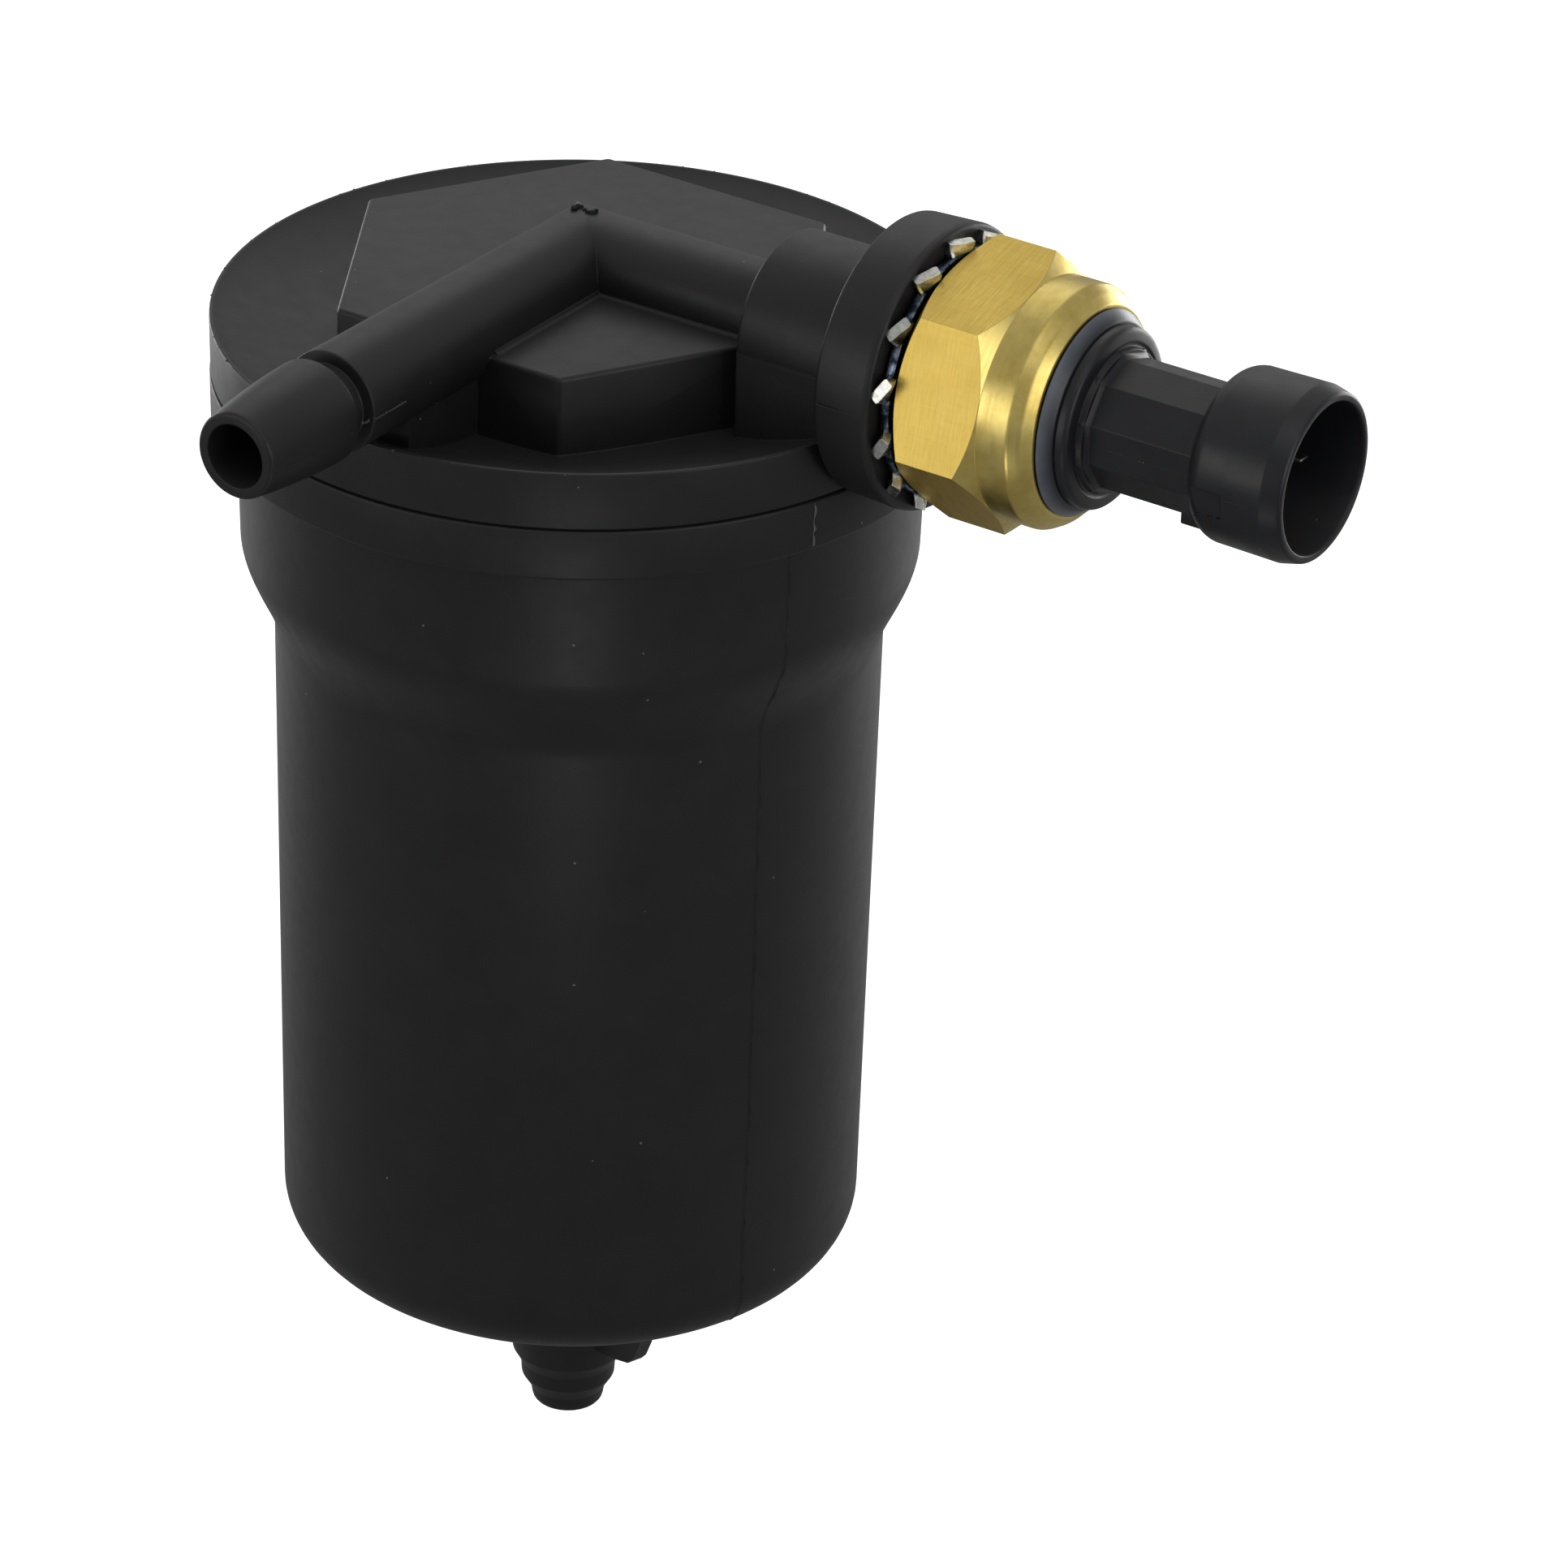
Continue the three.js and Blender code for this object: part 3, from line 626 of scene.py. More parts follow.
def toothed_zinc():
    """The lock washer: bright zinc on its teeth, and painted shade, dark and bluish with painted glints,
    on the ring in the gaps between them.
    """
    nodes = Nodes("zinc")
    parts = nodes.parts(nodes.place)
    flat = nodes.add("CombineXYZ")
    nodes.feed(flat.inputs["Y"], parts["Y"])
    nodes.feed(flat.inputs["Z"], parts["Z"])
    reach = nodes.add("VectorMath", operation="DISTANCE")
    nodes.feed(reach.inputs[0], flat.outputs[0])
    reach.inputs[1].default_value = (0, 0, AXIS_Z * MM)
    # inside the teeth's roots the ring is painted dark and bluish as shade, with lighter specks as painted
    # glints
    clear_of_painted_shade = nodes.remap(reach.outputs["Value"], WASHER_ROOT * MM, (WASHER_ROOT + 0.3) * MM)
    cloud = nodes.noise(900, 4, 0.6)
    bright = nodes.ramp(cloud, [(0.3, srgb(168, 168, 160)), (0.65, srgb(226, 226, 220))])
    painted_gap_shade_and_glints = nodes.ramp(nodes.noise(1100, 2), [(0.42, srgb(46, 54, 70)), (0.6, srgb(120, 134, 152))])
    colour = nodes.mix(clear_of_painted_shade, painted_gap_shade_and_glints, bright)
    normal = nodes.bump(nodes.noise(1400, 3), 0.04, nodes.soft_edges(0.12))
    rough = nodes.spread(cloud, 0.2, 0.36)
    return nodes.finish(Base_Color=colour, Metallic=1.0, Roughness=rough, Normal=normal)


def metal(name, colour, roughness=(0.2, 0.34), scale=500, depth=0.01, edge=0.1):
    nodes = Nodes(name)
    cloud = nodes.noise(scale, 4, 0.6)
    tone = nodes.ramp(cloud, [(0.3, tuple(c * 0.72 for c in colour)), (0.7, colour)])
    normal = nodes.bump(cloud, depth, nodes.soft_edges(edge))
    rough = nodes.spread(cloud, *roughness)
    return nodes.finish(Base_Color=tone, Metallic=1.0, Roughness=rough, Normal=normal)


def plain(name, colour, roughness=0.5, grain=900):
    """A matt solid with a slight grain: ceramic, lacquered board or natural plastic."""
    nodes = Nodes(name)
    cloud = nodes.noise(grain, 3)
    tone = nodes.ramp(cloud, [(0.3, tuple(c * 0.9 for c in colour)), (0.7, colour)])
    normal = nodes.bump(cloud, 0.006, nodes.soft_edges(0.2))
    return nodes.finish(Base_Color=tone, Roughness=roughness, Normal=normal)


def make_materials():
    return {
        "nylon": moulded("nylon", srgb(23, 23, 25), srgb(28, 28, 30)),
        "connector": moulded("connector", srgb(22, 23, 26), srgb(29, 30, 34), (0.34, 0.42), 0.35, 0.2),
        "scuff": plain("nylon_scuff", srgb(92, 94, 90), 0.8),
        "rubber": rubber("rubber", srgb(22, 22, 22)),
        "grey_rubber": sealant(),
        "nylon_edge": plain("nylon_edge", srgb(58, 58, 60), 0.6),
        # near-black: painted shadow along parting seams, and the gate mark's crumbs
        "seam_shadow_and_gate": plain("nylon_seam_shadow_and_gate", srgb(9, 9, 10), 0.8),
        "brass": turned_brass(),
        "brass_drawn": drawn_brass(),
        "zinc": toothed_zinc(),
        "stainless": metal("stainless", srgb(200, 203, 206)),
        "mesh": metal("mesh", srgb(186, 190, 195)),
        "nickel": metal("nickel", srgb(205, 203, 196), (0.12, 0.22), 200, 0.003),
        "steel": metal("steel", srgb(150, 153, 156), (0.3, 0.45)),
        "acetal": plain("acetal", srgb(226, 224, 216), 0.42),
        "tin": metal("tin", srgb(205, 206, 204), (0.2, 0.3)),
        "ceramic": plain("ceramic", srgb(240, 237, 229), 0.55),
        "board": plain("board", srgb(29, 90, 52), 0.4, 400),
    }


# ---- pieces ----
MATERIALS = {}
LID = ("lid_and_core", "nylon")  # body and slot of the lid's own mouldings
PLUG = ("sensor", "connector")


def piece(obj, body, slot, *nodes, material=None, angle=CREASE):
    """Finishes a piece: its shading, material, body, slot and the CAD nodes it stands for."""
    shade(obj, angle)
    if not obj.data.materials:
        obj.data.materials.append(MATERIALS[material or slot])
    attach(obj, body)
    if nodes:
        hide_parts(*nodes)
    return obj


def bowl_outside():
    """The canister's outer outline from the collar's top down to the spigot's tip."""
    flare = []
    steps = 28
    for i in range(steps + 1):
        share = i / steps
        radius = NECK_R + (BODY_R - NECK_R) * smoothstep(share)
        flare.append((radius, FLARE_Z[0] + (FLARE_Z[1] - FLARE_Z[0]) * share))
    base = arc((BASE_R - BASE_ROUND, BASE_Z + BASE_ROUND), BASE_ROUND, 0, -90, 14)
    spigot = [
        (9.2, BASE_Z, 1.2),
        (6.6, -121.6, 0.6),
        (5.6, -123.4, 0.4),
        (5.5, -125.2, 0.8),
        (4.4, -127.0, 0.4),
        (4.1, SPIGOT_TIP, 1.4),
        (2.3, SPIGOT_TIP, 0.3),
    ]
    collar = [(COLLAR_R + 0.1, COLLAR_TOP, 0.15), (COLLAR_R, 0, 0.45), (NECK_R + 0.3, 0, 0.5)]
    return collar + flare + base + spigot


def bowl():
    inside = [(2.3, FLOOR_Z, 0.5)]
    round_in = BASE_ROUND - WALL
    inside += arc((BASE_R - WALL - round_in, FLOOR_Z + round_in), round_in, -90, 0, 8)
    inside += [
        (BODY_R - WALL, FLARE_Z[1]),
        (BODY_R - WALL, LEDGE_Z, 0.3),
        (BORE_R, LEDGE_Z, 0.3),
        (BORE_R, SEAT_Z, 0.3),
        (SEAT_R, SEAT_Z, 0.2),
    ]
    outline = rounded([(SEAT_R, COLLAR_TOP)] + bowl_outside() + inside + [(SEAT_R, COLLAR_TOP - 0.3)])
    shell = lathe("bowl_moulding", outline, FINE)
    return union(shell, gussets())


def gussets():
    """Two thin gussets in the parting plane that brace the spigot against the base."""
    right = [(4, -119.2), (10.6, -117.9), (13.6, -116.9), (14.5, -115.9), (20.8, BASE_Z + 1.5)]
    outline = [(-r, z) for r, z in reversed(right)] + right
    across = Vector((math.cos(math.radians(PARTING)), math.sin(math.radians(PARTING)), 0))
    aside = Vector((-across.y, across.x, 0))
    rings = []
    for half in (-GUSSET_HALF, GUSSET_HALF):
        rings.append([tuple(across * r + aside * half + UP * z) for r, z in outline])
    return mesh_object("gussets", *sweep(rings))


ROOTED = 0.12  # how deep the foot of a ridge is sunk
LEAST_RISE = 0.02


def flash(name, outline, azimuth, width, height, step=0.5, seed=1, aside=0.0, jagged=0.9):
    """A thin, uneven ridge of flash that follows an outline down one azimuth, or runs beside it."""
    samples = []
    for (r0, z0), (r1, z1) in zip(outline, outline[1:]):
        out = Vector((z0 - z1, r1 - r0)).normalized()
        count = max(1, int(math.hypot(r1 - r0, z1 - z0) / step))
        for i in range(count):
            t = i / count
            samples.append((r0 + (r1 - r0) * t, z0 + (z1 - z0) * t, out))
    rings = []
    for i, (r, z, out) in enumerate(samples):
        wave = noise.noise(Vector((seed * 7.3, i * 0.35, 0)))
        drift = 0.3 * noise.noise(Vector((seed * 3.1, i * 0.03, 5))) + 0.16 * wave
        rise = height * (0.6 + jagged * wave)
        angle = math.radians(azimuth) + (drift + aside) / r
        ring = []
        for side, lift in ((-width / 2, -ROOTED), (0.0, max(LEAST_RISE, rise)), (width / 2, -ROOTED)):
            reach = r + out.x * lift
            turn = angle + side / r
            ring.append((reach * math.cos(turn), reach * math.sin(turn), z + out.y * lift))
        rings.append(ring)
    return mesh_object(name, *sweep(rings))


def crumbs(name, spots, size, seed):
    """Small torn slivers of plastic stuck along an edge."""
    chance = random.Random(seed)
    corners, faces = [], []
    for x, y, z in spots:
        base = len(corners)
        reach = size * chance.uniform(0.4, 1.0)
        for k in range(6):
            turn = 2 * math.pi * (k % 3) / 3 + chance.uniform(-0.5, 0.5)
            rise = (-0.5 if k < 3 else 0.5) * reach * chance.uniform(0.3, 0.9)
            wide = reach * chance.uniform(0.4, 1.0)
            corners.append((x + wide * math.cos(turn), y + wide * math.sin(turn), z + rise))
        faces += [(base, base + 1, base + 2), (base + 3, base + 4, base + 5)]
        for k in range(3):
            nxt = (k + 1) % 3
            faces.append((base + k, base + nxt, base + 3 + nxt, base + 3 + k))
    return mesh_object(name, corners, faces)


def ridge_line(name, path, facing, width, height):
    """A low parting ridge along a path of points on a surface that faces a fixed way."""
    out = Vector(facing).normalized()
    along = Vector(path[-1]) - Vector(path[0])
    side = along.cross(out).normalized()
    section = ((-width / 2, -0.1), (0, height), (width / 2, -0.1))
    rings = [[tuple(Vector(spot) + side * a + out * b) for a, b in section] for spot in path]
    return mesh_object(name, *sweep(rings))


def lid_rim_chips(chance):
    spots = []
    radius = LID_R - 0.1
    for _ in range(46):
        angle = chance.uniform(0, 2 * math.pi)
        spots.append((radius * math.cos(angle), radius * math.sin(angle), LID_RIM - 0.08))
    return crumbs("lid_rim_chips", spots, size=0.3, seed=3)


def gate_mark(chance):
    """The torn patch where the plastic was fed in, on top of the tube over the lid's axis."""
    spots = []
    for _ in range(16):
        along = chance.uniform(-1.5, 1.1)
        across = chance.uniform(-0.5, 0.5)
        drop = across * across / (2 * TUBE_R)
        spots.append((along, across, AXIS_Z + TUBE_R - 0.14 - drop))
    return crumbs("gate_mark", spots, size=0.62, seed=4)


def tube_chips(chance):
    spots = []
    for _ in range(16):
        y = TUBE_END + 2 - 7 * chance.random()
        x = TUBE_R - 0.05 if y < TUBE_END else NOZZLE_R - 0.6
        spots.append((x, -y, TUBE_PARTING_Z + chance.uniform(-0.2, 0.2)))
    return crumbs("tube_chips", spots, size=0.24, seed=5)


def make_lid_marks():
    chance = random.Random(11)
    piece(lid_rim_chips(chance), *LID, material="scuff")
    piece(gate_mark(chance), *LID, material="seam_shadow_and_gate")
    for side in (-1, 1):
        path = [(side * TUBE_R, -y, TUBE_PARTING_Z) for y in (40.5, 42, 44, TUBE_END - 0.1)]
        ridge = ridge_line(f"tube_parting_{side + 1}", path, (side, 0, 0), 0.26, 0.1)
        piece(ridge, *LID, material="nylon_edge")
        path = []
        for t in (0.06, 0.2, 0.35, 0.5, 0.65, 0.8, 0.92):
            reach = NOZZLE_R - 0.07 * t - NOZZLE_CURVE * t * t
            path.append((side * reach, -(GROOVE_END + 12.2 * t), TUBE_PARTING_Z))
        # a near-black line along the nozzle's parting: painted shadow of the parting step
        seam_shadow = ridge_line(f"nozzle_parting_shadow_{side + 1}", path, (side, 0, 0), 0.24, 0.05)
        piece(seam_shadow, *LID, material="seam_shadow_and_gate")
    piece(tube_chips(chance), *LID, material="scuff")
    for side in (-1, 1):
        path = [(x, side * FLANGE_R, AXIS_Z) for x in (FLANGE_X + 0.6, 42, 44, FACE_X - 1.0)]
        ridge = ridge_line(f"flange_parting_{side + 1}", path, (0, side, 0), 0.16, 0.05)
        piece(ridge, *LID)


def make_connector_marks():
    chance = random.Random(21)
    neck_side = NECK_CORNER_R * math.cos(math.pi / NECK_SIDES)
    shroud_side = SHROUD_R * 0.997
    for side in (-1, 1):
        for name, reach, along in (
            ("neck_parting", neck_side, (70.5, 73, 76, 80)),
            ("shroud_parting", shroud_side, (86.6, 88, 90, 90.8)),
        ):
            path = [(x, side * reach, AXIS_Z) for x in along]
            ridge = ridge_line(f"{name}_{side + 1}", path, (0, side, 0), 0.14, 0.05)
            piece(ridge, *PLUG)
    torn = []
    for _ in range(12):
        x = chance.uniform(79.5, 86)
        torn.append((x, -9.2 + 0.02 * (86 - x), 16.3 + chance.uniform(-0.25, 0.25)))
    piece(crumbs("latch_chips", torn, size=0.26, seed=7), *PLUG)
    chip = crumbs("neck_chip", [(x, -6.95, AXIS_Z) for x in (75.2, 75.6)], size=0.24, seed=9)
    piece(chip, *PLUG, material="scuff")


def make_canister():
    piece(bowl(), "canister", "nylon", "bowl")
    outside = rounded(bowl_outside())
    wall = [(NECK_R + 0.28, -0.7)] + [p for p in outside if BASE_Z + 0.5 < p[1] < -1 and p[0] > 30]
    for azimuth, seed in ((PARTING + SEAM_TURN, 1), (PARTING + SEAM_TURN + 180, 2)):
        ridge = flash(f"parting_ridge_{seed}", wall, azimuth, 0.4, 0.13, seed=seed)
        piece(ridge, "canister", "nylon")
        # a near-black strip beside the ridge: painted shadow of the parting ridge
        seam_shadow = flash(f"parting_shadow_line_{seed}", wall, azimuth, 0.34, 0.05, seed=seed, aside=-0.3, jagged=0.3)
        piece(seam_shadow, "canister", "nylon", material="seam_shadow_and_gate")
        collar = [(COLLAR_R + 0.1, COLLAR_TOP - 0.2), (COLLAR_R + 0.02, 0.3)]
        ridge = flash(f"collar_flash_{seed}", collar, azimuth + 1.2, 0.42, 0.16, 0.2, seed + 4, jagged=1.8)
        piece(ridge, "canister", "nylon", material="scuff")
    ridge = thread("bowl_thread", BORE_R, BOWL_THREAD_R, LID_PITCH, (-11.5, 1.5), sides=96)
    piece(ridge, "canister", "nylon")


def lid_plate():
    dish = []
    steps = 14
    for i in range(steps + 1):
        share = 1 - i / steps
        rise = (LID_RIM - 0.15 - DISH_Z) * share ** 2
        dish.append((DISH_R + (DISH_EDGE_R - DISH_R) * share, DISH_Z + rise))
    outline = [
        (0, PLATE_Z),
        (SKIRT_IN, PLATE_Z, 1.0),
        (SKIRT_IN, SKIRT_BOTTOM, 0.3),
        (SKIRT_R - 0.8, SKIRT_BOTTOM, 0.2),
        (SKIRT_R, SKIRT_BOTTOM + 0.8, 0.3),
        (SKIRT_R, LID_FOOT - 0.25, 0.3),
        (LID_R - 0.1, LID_FOOT - 0.25, 0.2),
        (LID_R, LID_RIM, 0.25),
        (40.6, LID_RIM, 0.15),
        *dish,
        (0, DISH_Z),
    ]
    return lathe("lid_moulding", rounded(outline), FINE)


def nozzle_tube():
    taper = []
    for k in range(1, 13):
        t = k / 12
        radius = NOZZLE_R - NOZZLE_SLIM * t - NOZZLE_CURVE * t * t
        taper.append((radius, GROOVE_END + (TAPER_END - GROOVE_END) * t))
    outline = [
        (0, -12),
        (TUBE_R - 0.3, -12),
        (TUBE_R, TUBE_END, 0.15),
        (GROOVE_R, TUBE_END + 0.15, 0.15),
        (GROOVE_R, GROOVE_END - 0.5, 0.25),
        (NOZZLE_R, GROOVE_END, 0.12),
        *taper,
        (NOZZLE_R - 1.08, NOZZLE_TIP, 0.45),
        (0, NOZZLE_TIP),
    ]
    tube = lathe("tube", rounded(outline), ROUND, "-Y")
    return slice_mesh(tube, (1, 1, 0))


def sensor_arm():
    arm = lathe("arm", [(0, -12), (ARM_R, -12), (ARM_R, BOSS_X + 2), (0, BOSS_X + 2)], SMALL, "X")
    arm = slice_mesh(arm, (-1, -1, 0), 0.12)
    boss = lathe("boss", rounded([(0, BOSS_X), (BOSS_R, BOSS_X, 0.5), (BOSS_R, 42), (0, 42)]), ROUND, "X")
    foot = box("foot", (BOSS_X, 42), (-BOSS_R, BOSS_R), (LID_FOOT + 1, AXIS_Z), 0.3)
    flange = lathe("flange", rounded([
        (0, FLANGE_X),
        (FLANGE_R - 0.3, FLANGE_X, 0.5),
        (FLANGE_R, FACE_X - 0.8, 0.4),
        (FLANGE_R - 0.15, FACE_X, 0.4),
        (0, FACE_X),
    ]), ROUND, "X")
    relief = lathe("relief", [(0, -5), (RELIEF_R, -5), (RELIEF_R, LID_FOOT), (0, LID_FOOT)], FINE)
    return union(arm, boss, foot, subtract(flange, relief))


def junction_fillet(radius, start, end, turn):
    """The small concave fillet between a tube and the hexagon's top, along one side of the tube."""
    foot = math.sqrt(radius ** 2 - (AXIS_Z - HEX_TOP) ** 2)
    profile = [(foot - 0.5, HEX_TOP - 0.3), (foot + FILLET, HEX_TOP - 0.3)]
    for k in range(6):
        angle = math.radians(-90 - 15 * k)
        out = foot + FILLET * (1 + math.cos(angle))
        profile.append((out, HEX_TOP + 0.01 + FILLET * (1 + math.sin(angle))))
    profile.append((foot - 0.5, HEX_TOP + FILLET))
    rings = [[(out, along, z) for out, z in profile] for along in (start, end)]
    obj = mesh_object("fillet", *sweep(rings))
    obj.data.transform(Matrix.Rotation(math.radians(turn), 4, "Z"))
    return obj


def lid_hub():
    tube = lathe("hub", [(HUB_IN, HUB_BOTTOM), (HUB_R, HUB_BOTTOM), (HUB_R, 13), (HUB_IN, 13)], ROUND)
    windows = []
    for i in range(3):
        window = box("window", (0, HUB_R + 2), (-3, 3), (-4.5, 4), 0.5)
        window.data.transform(Matrix.Rotation(math.radians(30 + 120 * i), 4, "Z"))
        windows.append(window)
    return subtract(tube, *windows)


def rod(name, radius, start, end, axis="Z", sides=SMALL):
    return lathe(name, [(0, start), (radius, start), (radius, end), (0, end)], sides, axis)


def puck(name, radius, start, end, fillet, axis="Z"):
    """A disc with both of its rims rounded."""
    outline = rounded([(0, start), (radius, start, fillet), (radius, end, fillet), (0, end)])
    return lathe(name, outline, ROUND, axis)


def make_lid():
    hexagon = prism("hexagon", HEX_R, 6, (PLATE_Z + 0.5, HEX_TOP), bevel=0.45)
    disc = rod("disc", WEB_END, LID_FOOT + 1, AXIS_Z, sides=FINE)
    web = intersect(box("web", (-WEB_HALF, WEB_HALF), (-45, -18), (LID_FOOT + 1, AXIS_Z)), disc)
    lid = union(lid_plate(), hexagon, nozzle_tube(), web, sensor_arm())
    hexagon_in = HEX_R * math.cos(math.pi / 6) - 1
    lid = union(
        lid,
        junction_fillet(TUBE_R, -hexagon_in, -ARM_R, 0),
        junction_fillet(ARM_R, TUBE_R, BOSS_X, -90),
    )
    pocket = [(HUB_IN, PLATE_Z - 1), (POCKET_R, PLATE_Z - 1), (POCKET_R, POCKET_TOP), (HUB_IN, POCKET_TOP)]
    lid = union(subtract(lid, lathe("pocket", pocket, ROUND)), lid_hub())
    lid = subtract(
        lid,
        rod("drop", TUBE_BORE, PLATE_Z - 1, AXIS_Z),
        rod("inlet", TUBE_BORE, 0, NOZZLE_TIP + 1, "-Y"),
        rod("branch", TUBE_BORE - 0.01, -TUBE_BORE, PORT_X + 1, "X"),
        rod("port", PORT_R, STUB_TIP - 1, FACE_X + 1, "X", ROUND),
        rod("counterbore", COUNTERBORE_R, COUNTERBORE_X, FACE_X + 1, "X", ROUND),
    )
    piece(lid, *LID, "lid")
    ridge = thread("lid_thread", SKIRT_R, LID_THREAD_R, LID_PITCH, (-8.5, 4.5), sides=96)
    piece(ridge, *LID)
    make_lid_marks()
    gasket = rounded([(35.6, 3.9), (38.1, 3.9, 0.3), (38.1, 6.0, 0.3), (35.6, 6.0, 0.3), (35.6, 4.0)])
    piece(lathe("lid_gasket", gasket, FINE), "gasket", "rubber", "lid_seal")


def make_core():
    plug = rounded([
        (0, -24.2), (7.6, -24.2, 0.4), (7.6, -20.7), (6.3, -20.7, 0.2), (6.3, -18.5, 0.2), (7.6, -18.5),
        (7.6, -15), (HUB_R, -15, 0.3), (HUB_R, HUB_BOTTOM - 0.3, 0.3), (6.0, HUB_BOTTOM - 0.3),
        (6.0, -6, 0.5), (0, -6),
    ])
    piece(lathe("core_plug", plug), "lid_and_core", "acetal", "sleeve_plug")
    piece(lathe("core_plug_seal", ring_outline(7.1, -19.6, 0.65)), "lid_and_core", "rubber", "plug_seal")
    floor = SLEEVE_BOTTOM + SLEEVE_R - SLEEVE_IN
    sleeve = rounded([
        (0, SLEEVE_BOTTOM), (SLEEVE_R, SLEEVE_BOTTOM, 2.0), (SLEEVE_R, SLEEVE_TOP, 0.2),
        (SLEEVE_IN, SLEEVE_TOP, 0.2), (SLEEVE_IN, floor, 0.3), (0, floor),
    ], 6)
    piece(lathe("core_sleeve", sleeve), "lid_and_core", "stainless", "magnet_sleeve")
    z = floor + STACK_GAP
    for i in range(1, MAGNETS + 1):
        magnet = puck(f"core_magnet_{i}", MAGNET_R, z, z + MAGNET_TALL, 0.4)
        piece(magnet, "lid_and_core", "nickel", f"magnet_{i}")
        z += MAGNET_TALL + STACK_GAP
        if i < MAGNETS:
            disc = puck(f"core_pole_disc_{i}", MAGNET_R, z, z + POLE_TALL, 0.2)
            piece(disc, "lid_and_core", "steel", f"pole_disc_{i}")
            z += POLE_TALL + STACK_GAP


def wire(path, closed):
    """Corners and faces of a round wire along a path of places and directions."""
    sides = 5
    spots = []
    for spot, along in path:
        out = Vector((spot.x, spot.y, 0)).normalized()
        other = along.cross(out)
        for k in range(sides):
            angle = 2 * math.pi * k / sides
            spots.append(tuple(spot + (out * math.cos(angle) + other * math.sin(angle)) * WIRE_R))
    rows = len(path)
    faces = []
    for row in range(rows if closed else rows - 1):
        a, b = row * sides, (row + 1) % rows * sides
        for k in range(sides):
            nxt = (k + 1) % sides
            faces.append((a + k, a + nxt, b + nxt, b + k))
    if not closed:
        faces.append(list(range(sides)))
        faces.append(list(range((rows - 1) * sides, rows * sides)))
    return spots, faces


def strainer_screen():
    """Round wires: level hoops, and uprights that bow in and out between them."""
    bottom = CAP_TOP + 0.6
    hoops = int((FLANGE_Z[1] - 0.2 - bottom) / WIRE_PITCH)
    wires = []
    for i in range(WIRES):
        angle = 2 * math.pi * i / WIRES
        out = Vector((math.cos(angle), math.sin(angle), 0))
        path = []
        for j in range(2 * hoops + 1):
            reach = SCREEN_R + WIRE_R * math.sin(math.pi * (j / 2 + i))
            height = Vector((0, 0, bottom + WIRE_PITCH * (j / 2)))
            path.append((out * reach + height, UP))
        wires.append(wire(path, False))
    for j in range(hoops):
        height = Vector((0, 0, bottom + WIRE_PITCH * j))
        path = []
        for i in range(2 * WIRES):
            angle = math.pi * (i + 1) / WIRES
            out = Vector((math.cos(angle), math.sin(angle), 0))
            path.append((out * SCREEN_R + height, Vector((-out.y, out.x, 0))))
        wires.append(wire(path, True))
    spots, faces = [], []
    for some_spots, some_faces in wires:
        base = len(spots)
        spots += some_spots
        faces += [[base + k for k in face] for face in some_faces]
    return mesh_object("screen_weave", spots, faces)


def make_basket():
    flange = rounded([
        (BASKET_IN, -18.1), (BASKET_R, -18.1, 0.3), (BASKET_R + 1, FLANGE_Z[0], 0.5),
        (FLANGE_OUT, FLANGE_Z[0], 0.3), (FLANGE_OUT, -14.0, 0.2), (32.9, -14.0, 0.2), (32.9, -11.8, 0.2),
        (FLANGE_OUT, -11.8, 0.2), (FLANGE_OUT, FLANGE_Z[1], 0.3), (BASKET_IN, FLANGE_Z[1], 0.3),
        (BASKET_IN, -18.0),
    ])
    parts = [lathe("basket_frame", flange, FINE)]
    cap = [(0, BASKET_BOTTOM), (BASKET_R, BASKET_BOTTOM, 0.8), (BASKET_R, CAP_TOP, 0.4), (0, CAP_TOP)]
    parts.append(lathe("cap", rounded(cap), ROUND))
    for z in HOOPS:
        hoop = rounded([
            (BASKET_IN, z - 1.2), (BASKET_R, z - 1.2, 0.5), (BASKET_R, z + 1.2, 0.5),
            (BASKET_IN, z + 1.2, 0.2), (BASKET_IN, z - 1.1),
        ])
        parts.append(lathe("hoop", hoop, ROUND))
    for i in range(8):
        rib = box("rib", (BASKET_IN + 0.05, BASKET_R - 0.15), (-1.5, 1.5), (BASKET_BOTTOM + 1, -17), 0.3)
        rib.data.transform(Matrix.Rotation(math.radians(45 * (i + 0.5)), 4, "Z"))
        parts.append(rib)
    frame = union(*parts)
    piece(frame, "basket", "acetal", "strainer_flange", "strainer_cage", "strainer_cap")
    piece(strainer_screen(), "basket", "mesh", "strainer_screen")
    seal = ring_outline(34.0, -12.9, 0.95)
    piece(lathe("basket_seal", seal, FINE), "basket", "rubber", "strainer_seal")


